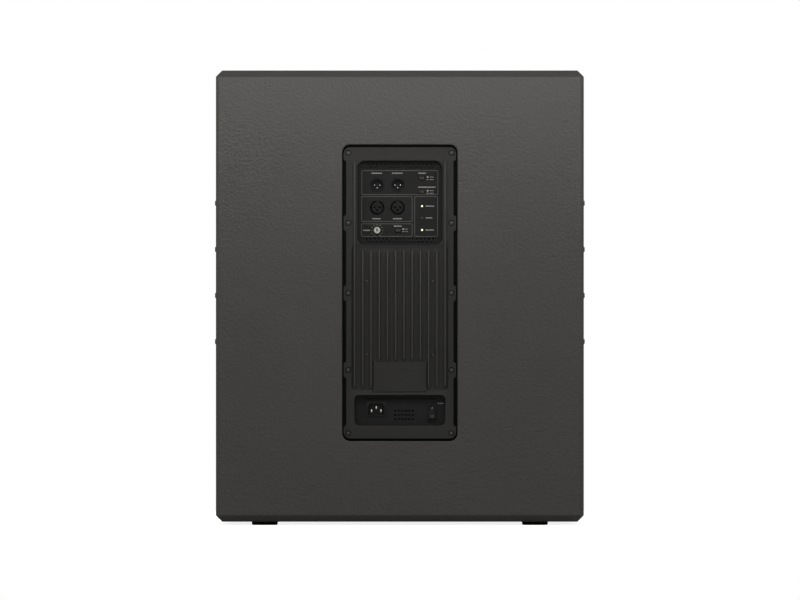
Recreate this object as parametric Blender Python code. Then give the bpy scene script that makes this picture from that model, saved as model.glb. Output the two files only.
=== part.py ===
"""A powered bass loudspeaker: a painted plywood cabinet, an 18 inch woofer and two ports behind a steel
grille, and a plate amplifier let into the rear panel.

Metres, +Z up. The rear panel faces -Y and the grille faces +Y. The origin is on the floor, under the
middle of the cabinet. Pieces that touch keep GAP between them.
"""

import math

import bmesh
import bpy

MM = 0.001
GAP = 0.3 * MM
OVERRUN = 5 * MM
OVERLAP = 1 * MM
SMOOTH_ANGLE = math.radians(35)
MERGE_DISTANCE = 1e-6

# Cabinet
CABINET_WIDTH = 525 * MM
CABINET_HEIGHT = 644 * MM
CABINET_DEPTH = 600 * MM
BOARD = 18 * MM
EDGE_CHAMFER = 9 * MM
REAR_SIDE_CHAMFER = 4.5 * MM
BAFFLE_SETBACK = 38 * MM
BRACE_HEIGHT = 40 * MM
BRACE_FROM_REAR = 240 * MM
BRACE_FROM_HANDLE = 30 * MM

# Feet
FOOT_HEIGHT = 5 * MM
FOOT_RADIUS = 18.5 * MM
FOOT_SPACING_X = 386 * MM
FOOT_INSET_Y = 62 * MM
FOOT_RECESS_RADIUS = 7 * MM
FOOT_RECESS_DEPTH = 3 * MM
FOOT_EDGE = 1 * MM

# Pole socket in the top
POLE_BORE_RADIUS = 18 * MM
POLE_WALL = 3 * MM
POLE_DEPTH = 80 * MM
POLE_FLANGE_RADIUS = 45 * MM
POLE_FLANGE = 3 * MM
POLE_Y = 10 * MM

# Recessed bar handles in the sides
HANDLE_HEIGHT = 361 * MM
HANDLE_SCREW_PITCH = 66.2 * MM
HANDLE_SCREW_ROWS = 4
HANDLE_SCREW_RADIUS = 4 * MM
HANDLE_SCREW_PROUD = 3.1 * MM
HANDLE_DISH_Y = 125 * MM
HANDLE_DISH_Z = 190 * MM
HANDLE_RIM = 20 * MM
HANDLE_SHEET = 2.5 * MM
HANDLE_DISH_DEPTH = 58 * MM
HANDLE_CORNER = 14 * MM
GRIP_RADIUS = 12 * MM
GRIP_INSET = 3 * MM
FIT = 0.8 * MM

# Grille
GRILLE_SHEET = 1.5 * MM
GRILLE_SETBACK = 1 * MM
GRILLE_MARGIN = 2 * MM
GRILLE_CORNER = 4 * MM
FOAM_THICKNESS = 6 * MM

# Woofer. Depths are measured back from the baffle's front face.
WOOFER_RADIUS = 231 * MM
WOOFER_FROM_TOP = 257 * MM
WOOFER_FLANGE = 7 * MM
WOOFER_SEAT_WIDTH = 22.5 * MM
WOOFER_HOLE_CLEARANCE = 3 * MM
BASKET_WALL = 4 * MM
BASKET_NECK_DEPTH = 25 * MM
BASKET_DEPTH = 128 * MM
BASKET_RING_RADIUS = 130 * MM
BASKET_RING = 8 * MM
BASKET_BORE_RADIUS = 58 * MM
SPIDER_SEAT_DEPTH = 105 * MM
SPIDER_SEAT_RADIUS = 122 * MM
SPIDER_THICKNESS = 2.4 * MM
SPIDER_WAVES = 4
SPIDER_WAVE_HEIGHT = 4 * MM
SPIDER_SEAT_WIDTH = 14.5 * MM
SPIDER_RIM = 10 * MM
SPIDER_FLAT = 4 * MM
BASKET_SPOKES = 8
WINDOW_FROM_SEAT = 5 * MM
WINDOW_FROM_WALL = 12 * MM
WINDOW_ABOVE_SEAT = 3 * MM
WINDOW_BELOW_NECK = 5 * MM
FLANGE_LIP = 1.5 * MM
LEDGE_FRONT = 1.2 * MM
LEDGE_BACK = -3 * MM
SPOKE_ANGLE = math.radians(13)
SURROUND_SEAT = 8.5 * MM
SURROUND_CLEARANCE = 2 * MM
ROLL_FROM_SEAT = 1 * MM
SURROUND_THICKNESS = 1.8 * MM
SURROUND_ROLL = 7.8 * MM
ROLL_STEPS = 6
GASKET_THICKNESS = 2.5 * MM
CONE_THICKNESS = 2.5 * MM
CONE_LIP = 7.5 * MM
CONE_DEPTH = 78 * MM
CONE_NECK = 4.5 * MM
CONE_NECK_WALL = 3.8 * MM
CONE_EDGE_INSET = 1 * MM
CONE_RIM_INSET = 0.5 * MM
COIL_RADIUS = 51.4 * MM
COIL_WALL = 1.6 * MM
COIL_START = 74 * MM
COIL_LENGTH = 72 * MM
COIL_CLEARANCE = 2.1 * MM
POLE_CLEARANCE = 1.3 * MM
DUST_CAP_RADIUS = 64 * MM
DUST_CAP_RISE = 20 * MM
DUST_CAP_THICKNESS = 1.5 * MM
DOME_STEPS = 4
TOP_PLATE_RADIUS = 105 * MM
TOP_PLATE = 10 * MM
MAGNET_RADIUS = 110 * MM
MAGNET_BORE_RADIUS = 66 * MM
MAGNET = 25 * MM
BACK_PLATE = 10 * MM
POLE_VENT_RADIUS = 12.5 * MM
POLE_RISE = 2 * MM
TERMINAL_WIDTH = 30 * MM
TERMINAL_HEIGHT = 18 * MM
TERMINAL_DEPTH = 12 * MM
WOOFER_SEGMENTS = 32

# Ports
PORT_BORE_RADIUS = 47.5 * MM
PORT_WALL = 3 * MM
PORT_LENGTH = 200 * MM
PORT_FLANGE_RADIUS = 59 * MM
PORT_FLANGE = 4 * MM
PORT_FLARE = 5 * MM
PORT_SPACING = 300 * MM
PORT_ABOVE_BOARD = 65 * MM
PORT_SEGMENTS = 24
SOCKET_SEGMENTS = 16
FOOT_SEGMENTS = 16
SCREW_SEGMENTS = 10
PIN_SEGMENTS = 8
GRIP_SEGMENTS = 20
KNOB_SEGMENTS = 24
POLE_SEGMENTS = 32

# Amplifier plate in its pocket. Heights are above the floor.
POCKET_WIDTH = 164.6 * MM
POCKET_BOTTOM = 120 * MM
POCKET_TOP = 543 * MM
POCKET_CORNER = 11 * MM
POCKET_LEDGE = 12 * MM
CUTOUT_CORNER = 6 * MM
PLATE_SIDE_CLEARANCE = 2.05 * MM
PLATE_END_CLEARANCE = 3.8 * MM
PLATE_SETBACK = 4 * MM
PLATE_THICKNESS = 3.2 * MM
PLATE_GASKET = 1 * MM
NOTCH_DEPTH = 3.7 * MM
SCREW_BOSS_HEIGHT = 20 * MM
BOSS_HEIGHTS = (131.2 * MM, 221.3 * MM, 331.0 * MM, 431.1 * MM, 531.1 * MM)

# Cooling fins on the plate
FIN_COUNT = 12
FIN_FROM_RECESS = 3.77 * MM
FIN_RISE = 3.6 * MM
FIN_BASE = 4.3 * MM
FIN_TIP = 2.4 * MM
FIN_RAMP = 5 * MM
FIN_TOP = 392.7 * MM
FIN_OUTER_TOP = 521 * MM
FIN_INNER_BOTTOM = 233 * MM
FIN_OUTER_BOTTOM = 195 * MM
FIN_INNER_COUNT = 6

# Recesses in the plate and the panels at their bottoms
RECESS_DEPTH = 12 * MM
RECESS_WALL = 2.5 * MM
RECESS_FROM_COVER = 0.2 * MM
CONTROL_NARROWER = 7.6 * MM
PANEL_SHEET = 1.5 * MM
CONTROL_BOTTOM = 399.9 * MM
CONTROL_TOP = 519.7 * MM
CONTROL_CORNER = 11 * MM
MAINS_BOTTOM = 142.1 * MM
MAINS_TOP = 185.4 * MM
MAINS_CORNER = 7 * MM

# Controls, as (x, z)
SOCKET_XS = (-32.3 * MM, -3.1 * MM)
OUTPUT_Z = 485.3 * MM
INPUT_Z = 453.3 * MM
SOCKET_RADIUS = 10 * MM
SOCKET_BORE_RADIUS = 8 * MM
SOCKET_PROUD = 1 * MM
SOCKET_DEPTH = 24 * MM
SOCKET_CAVITY = 14 * MM
SOCKET_PIN_RADIUS = 1.2 * MM
SOCKET_PIN_CIRCLE = 3.8 * MM
CONTACT_ANGLES = (0, math.pi, 1.5 * math.pi)
SOCKET_PIN_SHORT = 3 * MM
INSERT_SETBACK = 1.5 * MM
INSERT_HOLE_RADIUS = 1.6 * MM
LED_X = 31.7 * MM
LED_ZS = {"signal_led": 455.4 * MM, "limit_led": 438.6 * MM, "power_led": 421.3 * MM}
LED_RADIUS = 1.5 * MM
LED_PROUD = 1.2 * MM
LED_TIP_RADIUS = 0.9 * MM
LED_TIP = 0.2 * MM
LED_DOME = 0.9 * MM
KNOB_PLACE = (-32.6 * MM, 420.8 * MM)
KNOB_RADIUS = 4.7 * MM
KNOB_HEIGHT = 9 * MM
KNOB_LIFT = 0.6 * MM
KNOB_EDGE = 0.5 * MM
KNOB_BORE_DEPTH = 6 * MM
POINTER_WIDTH = 1 * MM
POINTER_DEPTH = 0.7 * MM
POINTER_START = 1 * MM
SHAFT_RADIUS = 2 * MM
POT_SIDE = 10 * MM
POT_DEPTH = 7 * MM
BUTTON_PLACES = {
    "filter_button": (31.3 * MM, 495.4 * MM),
    "polarity_button": (31.5 * MM, 475.7 * MM),
    "ground_lift_button": (-2.6 * MM, 420.8 * MM),
}
BUTTON_WIDTH = 8 * MM
BUTTON_HEIGHT = 5 * MM
BUTTON_PROUD = 3 * MM
BUTTON_TRAVEL = 2.5 * MM
BUTTON_LENGTH = 11 * MM
BUTTON_STEM_RADIUS = 1.5 * MM
BUTTON_STEM = 8 * MM
BUTTON_SPARE = 2 * MM
SWITCH_SIDE_X = 10 * MM
SWITCH_SIDE_Z = 8 * MM
BOARD_THICKNESS = 1.6 * MM
BOARD_MARGIN = 3 * MM
POST_RADIUS = 3 * MM
POST_INSET = 6 * MM

# Mains inlet and power switch
INLET_PLACE = (-33.7 * MM, 165.9 * MM)
INLET_WIDTH = 27 * MM
INLET_HEIGHT = 20 * MM
INLET_DEPTH = 22 * MM
INLET_CAVITY_WIDTH = 24 * MM
INLET_CAVITY_HEIGHT = 17 * MM
INLET_CAVITY = 16 * MM
INLET_CORNER_CUT = 4.5 * MM
INLET_PIN = (2 * MM, 4 * MM)
INLET_PIN_SPACING = 13.4 * MM
INLET_PIN_DROP = 2.7 * MM
INLET_PIN_RISE = 1.8 * MM
INLET_PIN_SHORT = 4 * MM
INLET_FLANGE = 1 * MM
INLET_RIM = 1 * MM
INLET_CORNER = 2 * MM
SWITCH_PLACE = (46.1 * MM, 160.2 * MM)
BEZEL_WIDTH = 13 * MM
BEZEL_HEIGHT = 26 * MM
BEZEL_PROUD = 1.5 * MM
BEZEL_LIP = 0.7 * MM
BEZEL_CORNER = 1.5 * MM
BEZEL_STEPS = 2
SWITCH_DEPTH = 20 * MM
ROCKER_WIDTH = 9.4 * MM
ROCKER_HALF_LENGTH = 9.6 * MM
ROCKER_THROW = math.radians(20)
ROCKER_FACE = 4.2 * MM
ROCKER_BACK = 2 * MM
ROCKER_WAIST = 7 * MM
ROCKER_PIVOT_DEPTH = 2.2 * MM
ROCKER_WELL = 8 * MM

# Inside the amplifier's cover
COVER_CLEARANCE = 1.5 * MM
COVER_SHEET = 1.5 * MM
AMP_DEPTH = 118 * MM
AMP_BOARD_DEPTH = 22 * MM
AMP_BOARD_BOTTOM = 200 * MM
AMP_BOARD_TOP = 390 * MM
SPREADER = (100 * MM, 60 * MM)
SPREADER_Z = 296 * MM
SUPPLY_BOARD_DEPTH = 75 * MM
SUPPLY_BOARD_BOTTOM = 150 * MM
SUPPLY_BOARD_TOP = 390 * MM
CAPACITOR_RADIUS = 15 * MM
CAPACITOR_HEIGHT = 32 * MM
CAPACITOR_PLACES = ((-20 * MM, 180 * MM), (20 * MM, 180 * MM))
TRANSFORMER = (56 * MM, 34 * MM, 60 * MM)
TRANSFORMER_Z = 320 * MM
WINDING_BULGE = 7 * MM
WINDING_FROM_END = 14 * MM
WINDING_INSET = 3 * MM
WINDING_CORNER = 6 * MM
BOARDS_WIDTH = 116 * MM

# Speaker cable
CABLE_RADIUS = 3.5 * MM
CABLE_GLAND_RADIUS = 7 * MM
CABLE_GLAND = 6 * MM
CABLE_START = (30 * MM, 440 * MM)
CABLE_POINTS = 20
CABLE_LEAD = 8 * MM
CABLE_PULL = 0.45
GLAND_SEGMENTS = 12

# Places that follow from the sizes above
HALF_WIDTH = CABINET_WIDTH / 2
REAR_Y = -CABINET_DEPTH / 2
FRONT_Y = CABINET_DEPTH / 2
BODY_BOTTOM = FOOT_HEIGHT
BODY_TOP = FOOT_HEIGHT + CABINET_HEIGHT
BAFFLE_Y = FRONT_Y - BAFFLE_SETBACK
WOOFER_Z = BODY_TOP - WOOFER_FROM_TOP
PORT_Z = BODY_BOTTOM + BOARD + PORT_ABOVE_BOARD
POCKET_HEIGHT = POCKET_TOP - POCKET_BOTTOM
POCKET_Z = (POCKET_TOP + POCKET_BOTTOM) / 2
POCKET_DEPTH = PLATE_SETBACK + PLATE_THICKNESS + PLATE_GASKET + 2 * GAP
PLATE_WIDTH = POCKET_WIDTH - 2 * PLATE_SIDE_CLEARANCE
PLATE_HEIGHT = POCKET_HEIGHT - 2 * PLATE_END_CLEARANCE
PLATE_FACE_Y = REAR_Y + PLATE_SETBACK
PLATE_BACK_Y = PLATE_FACE_Y + PLATE_THICKNESS
PANEL_Y = PLATE_FACE_Y + RECESS_DEPTH
PANEL_BACK_Y = PANEL_Y + PANEL_SHEET
CONTROL_BOARD_Y = PANEL_Y + SOCKET_DEPTH + GAP
CUTOUT_WIDTH = POCKET_WIDTH - 2 * POCKET_LEDGE
CUTOUT_HEIGHT = POCKET_HEIGHT - 2 * POCKET_LEDGE
COVER_WIDTH = CUTOUT_WIDTH - 2 * COVER_CLEARANCE
COVER_HEIGHT = CUTOUT_HEIGHT - 2 * COVER_CLEARANCE
COVER_BACK_Y = REAR_Y + AMP_DEPTH
MAINS_WIDTH = COVER_WIDTH - 2 * (COVER_SHEET + RECESS_FROM_COVER + RECESS_WALL)
CONTROL_WIDTH = MAINS_WIDTH - CONTROL_NARROWER
FIN_PITCH = (CONTROL_WIDTH + 2 * FIN_FROM_RECESS) / (FIN_COUNT - 1)
AMP_BOARD_Y = PLATE_BACK_Y + AMP_BOARD_DEPTH
SUPPLY_BOARD_Y = PLATE_BACK_Y + SUPPLY_BOARD_DEPTH
SEAT_RADIUS = WOOFER_RADIUS - WOOFER_SEAT_WIDTH
HANDLE_FLANGE_Y = HANDLE_DISH_Y + 2 * HANDLE_RIM
HANDLE_FLANGE_Z = HANDLE_DISH_Z + 2 * HANDLE_RIM

# Name: colour, roughness, metallic
FINISHES = {
    "textured_paint": ((0.045, 0.045, 0.047), 0.62, 0.0),
    "plywood": ((0.42, 0.28, 0.15), 0.7, 0.0),
    "powder_coat": ((0.03, 0.03, 0.032), 0.5, 0.2),
    "black_plastic": ((0.02, 0.02, 0.021), 0.45, 0.0),
    "grey_plastic": ((0.5, 0.5, 0.49), 0.4, 0.0),
    "rubber": ((0.012, 0.012, 0.012), 0.8, 0.0),
    "foam": ((0.02, 0.02, 0.02), 0.95, 0.0),
    "paper": ((0.04, 0.04, 0.042), 0.85, 0.0),
    "cloth": ((0.5, 0.32, 0.12), 0.85, 0.0),
    "steel": ((0.45, 0.45, 0.46), 0.35, 1.0),
    "ferrite": ((0.05, 0.05, 0.055), 0.6, 0.1),
    "aluminium": ((0.6, 0.61, 0.62), 0.4, 1.0),
    "black_aluminium": ((0.04, 0.04, 0.042), 0.45, 0.6),
    "copper": ((0.6, 0.3, 0.15), 0.4, 1.0),
    "circuit_board": ((0.02, 0.14, 0.06), 0.5, 0.0),
    "lit_lens": ((0.35, 0.75, 0.3), 0.2, 0.0),
    "dark_lens": ((0.2, 0.03, 0.02), 0.2, 0.0),
}


def clear_scene():
    for obj in list(bpy.data.objects):
        bpy.data.objects.remove(obj, do_unlink=True)


def finish(name):
    """The material of this name, made when it is first asked for."""
    found = bpy.data.materials.get(name)
    if found:
        return found
    colour, roughness, metallic = FINISHES[name]
    made = bpy.data.materials.new(name)
    made.use_nodes = True
    shader = made.node_tree.nodes["Principled BSDF"]
    shader.inputs["Base Color"].default_value = (*colour, 1)
    shader.inputs["Roughness"].default_value = roughness
    shader.inputs["Metallic"].default_value = metallic
    return made


def place_mesh(name, bm, place, material, smooth):
    """Closes the bmesh into an object at this place."""
    bmesh.ops.recalc_face_normals(bm, faces=bm.faces)
    mesh = bpy.data.meshes.new(name)
    bm.to_mesh(mesh)
    bm.free()
    if smooth:
        mesh.shade_smooth()
        mesh.set_sharp_from_angle(angle=SMOOTH_ANGLE)
    obj = bpy.data.objects.new(name, mesh)
    obj.location = place
    bpy.context.scene.collection.objects.link(obj)
    if material:
        mesh.materials.append(finish(material))
    return obj


def prism(name, outlines, low, high, axis="Y", place=(0, 0, 0), material=None, smooth=False):
    """Outlines pushed along an axis from low to high. An outline's points are in the other two axes."""
    bm = bmesh.new()
    for outline in outlines:
        corners = []
        for first, second in outline:
            point = {"X": (low, first, second), "Y": (first, low, second), "Z": (first, second, low)}[axis]
            corners.append(bm.verts.new(point))
        face = bm.faces.new(corners)
        pushed = bmesh.ops.extrude_face_region(bm, geom=[face])["geom"]
        shift = {"X": (high - low, 0, 0), "Y": (0, high - low, 0), "Z": (0, 0, high - low)}[axis]
        moved = [part for part in pushed if isinstance(part, bmesh.types.BMVert)]
        bmesh.ops.translate(bm, vec=shift, verts=moved)
    return place_mesh(name, bm, place, material, smooth)


def turned(name, profile, place, material=None, segments=WOOFER_SEGMENTS, axis="Y"):
    """A profile of (radius, distance along the axis) turned round it. One that starts and ends on the
    axis stays open there, and any other closes on itself."""
    bm = bmesh.new()
    corners = []
    for radius, along in profile:
        corners.append(bm.verts.new((radius, along, 0) if axis == "Y" else (radius, 0, along)))
    edges = [bm.edges.new(pair) for pair in zip(corners, corners[1:])]
    if profile[0][0] > 0:
        edges.append(bm.edges.new((corners[-1], corners[0])))
    direction = (0, 1, 0) if axis == "Y" else (0, 0, 1)
    bmesh.ops.spin(
        bm,
        geom=edges,
        cent=(0, 0, 0),
        axis=direction,
        angle=2 * math.pi,
        steps=segments,
        use_merge=True,
    )
    bmesh.ops.remove_doubles(bm, verts=bm.verts, dist=MERGE_DISTANCE)
    return place_mesh(name, bm, place, material, smooth=True)


def rectangle(width, height, centre=(0, 0)):
    across, up = width / 2, height / 2
    corners = ((-across, -up), (across, -up), (across, up), (-across, up))
    return [(centre[0] + x, centre[1] + z) for x, z in corners]


def rounded(width, height, radius, centre=(0, 0), steps=4):
    """A rectangle with round corners."""
    points = []
    for quarter, (side, end) in enumerate(((1, 1), (-1, 1), (-1, -1), (1, -1))):
        for step in range(steps + 1):
            angle = math.pi / 2 * (quarter + step / steps)
            across = side * (width / 2 - radius) + radius * math.cos(angle)
            up = end * (height / 2 - radius) + radius * math.sin(angle)
            points.append((centre[0] + across, centre[1] + up))
    return points


def chamfered(width, height, cut, centre=(0, 0), corners=(1, 1, 1, 1)):
    """A rectangle with flat corner cuts, from the upper right corner round anticlockwise."""
    points = []
    for kept, (side, end) in zip(corners, ((1, 1), (-1, 1), (-1, -1), (1, -1))):
        x, z = side * width / 2, end * height / 2
        pair = [(x, z - end * cut), (x - side * cut, z)] if kept else [(x, z)]
        points += pair if side == end else pair[::-1]
    return [(centre[0] + x, centre[1] + z) for x, z in points]


def circle(radius, centre=(0, 0), segments=16):
    points = []
    for step in range(segments):
        angle = 2 * math.pi * step / segments
        points.append((centre[0] + radius * math.cos(angle), centre[1] + radius * math.sin(angle)))
    return points


def sector(inner, outer, start, end, steps=3):
    """The outline between two radii and two angles."""
    points = []
    for radius, first, last in ((outer, start, end), (inner, end, start)):
        for step in range(steps + 1):
            angle = first + (last - first) * step / steps
            points.append((radius * math.cos(angle), radius * math.sin(angle)))
    return points


def combine(target, tool, operation):
    """Keeps the tool as a hidden helper of a Boolean on the target."""
    tool.name = f"{target.name}_{operation.lower()}_{len(target.modifiers)}"
    tool.hide_render = True
    tool.display_type = "WIRE"
    change = target.modifiers.new(tool.name, "BOOLEAN")
    change.operation = operation
    change.solver = "EXACT"
    change.object = tool
    return target


def cut(target, tool):
    return combine(target, tool, "DIFFERENCE")


def add(target, tool):
    return combine(target, tool, "UNION")


def drum(radius, low, high, centre, segments=16):
    """The prism of one circle along Y, for holes, pins and posts."""
    return prism("drum", [circle(radius, centre, segments)], low, high)


def drums(radius, low, high, centres, segments=16):
    return prism("drums", [circle(radius, centre, segments) for centre in centres], low, high)


# Cabinet


def make_horizontal_boards():
    y_low = REAR_Y + BOARD + GAP
    width = CABINET_WIDTH
    top = chamfered(width, BOARD, EDGE_CHAMFER, (0, BODY_TOP - BOARD / 2), (1, 1, 0, 0))
    bottom = chamfered(width, BOARD, EDGE_CHAMFER, (0, BODY_BOTTOM + BOARD / 2), (0, 0, 1, 1))
    top_panel = prism("top_panel", [top], y_low, FRONT_Y, material="textured_paint")
    rebate = circle(POLE_FLANGE_RADIUS + FIT, (0, POLE_Y), POLE_SEGMENTS)
    hole = circle(POLE_BORE_RADIUS + POLE_WALL + FIT, (0, POLE_Y), POLE_SEGMENTS)
    cut(top_panel, prism("rebate", [rebate], BODY_TOP - POLE_FLANGE - GAP, BODY_TOP + OVERRUN, "Z"))
    cut(top_panel, prism("hole", [hole], BODY_TOP - BOARD - OVERRUN, BODY_TOP, "Z"))
    prism("bottom_panel", [bottom], y_low, FRONT_Y, material="textured_paint")


def make_side_board(name, side):
    y_low = REAR_Y + BOARD + GAP
    depth = FRONT_Y - y_low
    height = CABINET_HEIGHT - 2 * (BOARD + GAP)
    outline = rectangle(depth, height, (y_low + depth / 2, BODY_BOTTOM + CABINET_HEIGHT / 2))
    edges = sorted((side * HALF_WIDTH, side * (HALF_WIDTH - BOARD)))
    board = prism(name, [outline], *edges, "X", material="textured_paint")
    centre = (0, HANDLE_HEIGHT)
    rebate = rounded(HANDLE_FLANGE_Y + 2 * FIT, HANDLE_FLANGE_Z + 2 * FIT, HANDLE_CORNER, centre)
    hole_y = HANDLE_DISH_Y + 2 * (HANDLE_SHEET + FIT)
    hole_z = HANDLE_DISH_Z + 2 * (HANDLE_SHEET + FIT)
    hole = rounded(hole_y, hole_z, HANDLE_CORNER + HANDLE_SHEET, centre)
    shallow = sorted((side * (HALF_WIDTH - HANDLE_SHEET - GAP), side * (HALF_WIDTH + OVERRUN)))
    through = sorted((side * (HALF_WIDTH - BOARD - OVERRUN), side * HALF_WIDTH))
    cut(board, prism("rebate", [rebate], *shallow, "X"))
    cut(board, prism("hole", [hole], *through, "X"))


def make_rear_panel():
    """The outline's corners, the long top and bottom edges and the sides each have their own chamfer."""
    centre = (0, BODY_BOTTOM + CABINET_HEIGHT / 2)
    face = chamfered(CABINET_WIDTH, CABINET_HEIGHT, EDGE_CHAMFER, centre)
    panel = prism("rear_panel", [face], REAR_Y, REAR_Y + BOARD, material="textured_paint")
    slab_y = REAR_Y + BOARD
    edge_outline = chamfered(2 * BOARD, CABINET_HEIGHT, EDGE_CHAMFER, (slab_y, centre[1]))
    combine(panel, prism("edges", [edge_outline], -CABINET_WIDTH, CABINET_WIDTH, "X"), "INTERSECT")
    side_outline = chamfered(CABINET_WIDTH, 2 * BOARD, REAR_SIDE_CHAMFER, (0, slab_y))
    combine(panel, prism("sides", [side_outline], -OVERRUN, CABINET_HEIGHT * 2, "Z"), "INTERSECT")
    pocket = rounded(POCKET_WIDTH, POCKET_HEIGHT, POCKET_CORNER, (0, POCKET_Z))
    cutout = rounded(CUTOUT_WIDTH, CUTOUT_HEIGHT, CUTOUT_CORNER, (0, POCKET_Z))
    cut(panel, prism("pocket", [pocket], REAR_Y - OVERRUN, REAR_Y + POCKET_DEPTH))
    cut(panel, prism("cutout", [cutout], REAR_Y, REAR_Y + BOARD + OVERRUN))


def make_front_baffle():
    width = CABINET_WIDTH - 2 * (BOARD + GAP)
    height = CABINET_HEIGHT - 2 * (BOARD + GAP)
    outline = rectangle(width, height, (0, BODY_BOTTOM + CABINET_HEIGHT / 2))
    baffle = prism("front_baffle", [outline], BAFFLE_Y - BOARD, BAFFLE_Y, material="plywood")
    ends = (BAFFLE_Y - BOARD - OVERRUN, BAFFLE_Y + OVERRUN)
    cut(baffle, drum(SEAT_RADIUS + WOOFER_HOLE_CLEARANCE, *ends, (0, WOOFER_Z), WOOFER_SEGMENTS))
    radius = PORT_BORE_RADIUS + PORT_WALL + FIT
    places = [(side * PORT_SPACING / 2, PORT_Z) for side in (-1, 1)]
    cut(baffle, drums(radius, *ends, places, PORT_SEGMENTS))


def make_braces():
    width = CABINET_WIDTH - 2 * (BOARD + GAP)
    reach = HANDLE_FLANGE_Z / 2 + BRACE_FROM_HANDLE
    for name, side in (("lower_brace", -1), ("upper_brace", 1)):
        outline = rectangle(width, BRACE_HEIGHT, (0, HANDLE_HEIGHT + side * reach))
        y_low = REAR_Y + BRACE_FROM_REAR
        prism(name, [outline], y_low, y_low + BOARD, material="plywood")


def make_feet():
    profile = [
        (0, FOOT_RECESS_DEPTH),
        (FOOT_RECESS_RADIUS, FOOT_RECESS_DEPTH),
        (FOOT_RECESS_RADIUS, 0),
        (FOOT_RADIUS - FOOT_EDGE, 0),
        (FOOT_RADIUS, FOOT_EDGE),
        (FOOT_RADIUS, FOOT_HEIGHT - GAP),
        (0, FOOT_HEIGHT - GAP),
    ]
    reach = CABINET_DEPTH / 2 - FOOT_INSET_Y
    for end, along in (("front", 1), ("rear", -1)):
        for hand, side in (("left", -1), ("right", 1)):
            place = (side * FOOT_SPACING_X / 2, along * reach, 0)
            turned(f"{end}_{hand}_foot", profile, place, "rubber", FOOT_SEGMENTS, "Z")


def make_pole_socket():
    outer = POLE_BORE_RADIUS + POLE_WALL
    profile = [
        (0, -POLE_DEPTH),
        (POLE_BORE_RADIUS, -POLE_DEPTH),
        (POLE_BORE_RADIUS, 0),
        (POLE_FLANGE_RADIUS, 0),
        (POLE_FLANGE_RADIUS, -POLE_FLANGE),
        (outer, -POLE_FLANGE),
        (outer, -POLE_DEPTH - POLE_WALL),
        (0, -POLE_DEPTH - POLE_WALL),
    ]
    turned("pole_socket", profile, (0, POLE_Y, BODY_TOP), "black_plastic", POLE_SEGMENTS, "Z")


def make_handle(hand, side):
    """A pressed dish whose rim lies flush in the side, and a bar across its mouth."""
    centre = (0, HANDLE_HEIGHT)
    face, back = side * HALF_WIDTH, side * (HALF_WIDTH - HANDLE_SHEET)
    bottom = side * (HALF_WIDTH - HANDLE_DISH_DEPTH - HANDLE_SHEET)
    flange = rounded(HANDLE_FLANGE_Y, HANDLE_FLANGE_Z, HANDLE_CORNER, centre)
    walls = rounded(
        HANDLE_DISH_Y + 2 * HANDLE_SHEET,
        HANDLE_DISH_Z + 2 * HANDLE_SHEET,
        HANDLE_CORNER + HANDLE_SHEET,
        centre,
    )
    hollow = rounded(HANDLE_DISH_Y, HANDLE_DISH_Z, HANDLE_CORNER, centre)
    name = f"{hand}_handle_dish"
    dish = prism(name, [flange], *sorted((face, back)), "X", material="powder_coat")
    add(dish, prism("walls", [walls], *sorted((bottom, face - side * GAP)), "X"))
    ends = sorted((side * (HALF_WIDTH - HANDLE_DISH_DEPTH), face + side * OVERRUN))
    cut(dish, prism("hollow", [hollow], *ends, "X"))
    heads = []
    for row in range(HANDLE_SCREW_ROWS):
        z = HANDLE_HEIGHT + (row - (HANDLE_SCREW_ROWS - 1) / 2) * HANDLE_SCREW_PITCH
        for column in (-1, 1):
            y = column * (HANDLE_DISH_Y / 2 + HANDLE_RIM / 2)
            heads.append(circle(HANDLE_SCREW_RADIUS, (y, z), SCREW_SEGMENTS))
    proud = sorted((back + side * HANDLE_SHEET / 2, face + side * HANDLE_SCREW_PROUD))
    add(dish, prism("screws", heads, *proud, "X"))
    x = side * (HALF_WIDTH - GRIP_INSET - GRIP_RADIUS)
    reach = HANDLE_DISH_Y / 2 - GAP
    grip = circle(GRIP_RADIUS, (x, HANDLE_HEIGHT), GRIP_SEGMENTS)
    prism(f"{hand}_handle_grip", [grip], -reach, reach, material="rubber", smooth=True)


# Grille


def make_grille():
    """A tray of sheet steel whose sides rest on the baffle, lined with foam."""
    width = CABINET_WIDTH - 2 * (BOARD + GRILLE_MARGIN)
    height = CABINET_HEIGHT - 2 * (BOARD + GRILLE_MARGIN)
    centre = (0, BODY_BOTTOM + CABINET_HEIGHT / 2)
    face_y = FRONT_Y - GRILLE_SETBACK
    outer = rounded(width, height, GRILLE_CORNER, centre)
    grille = prism("grille", [outer], BAFFLE_Y + GAP, face_y, material="powder_coat")
    narrow, low = width - 2 * GRILLE_SHEET, height - 2 * GRILLE_SHEET
    inner = rounded(narrow, low, GRILLE_CORNER - GRILLE_SHEET, centre)
    cut(grille, prism("inside", [inner], BAFFLE_Y - OVERRUN, face_y - GRILLE_SHEET))
    foam = rounded(narrow - 2 * FIT, low - 2 * FIT, GRILLE_CORNER - GRILLE_SHEET, centre)
    foam_y = face_y - GRILLE_SHEET - GAP
    prism("grille_foam", [foam], foam_y - FOAM_THICKNESS, foam_y, material="foam")


# Ports


def make_ports():
    outer = PORT_BORE_RADIUS + PORT_WALL
    profile = [
        (PORT_BORE_RADIUS, -PORT_LENGTH),
        (outer, -PORT_LENGTH),
        (outer, GAP),
        (PORT_FLANGE_RADIUS, GAP),
        (PORT_FLANGE_RADIUS, PORT_FLANGE),
        (PORT_BORE_RADIUS + PORT_FLARE, PORT_FLANGE),
        (PORT_BORE_RADIUS, PORT_FLANGE - 2 * PORT_FLARE),
    ]
    for hand, side in (("left", -1), ("right", 1)):
        place = (side * PORT_SPACING / 2, BAFFLE_Y, PORT_Z)
        turned(f"{hand}_port_tube", profile, place, "black_plastic", PORT_SEGMENTS)


# Woofer


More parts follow.
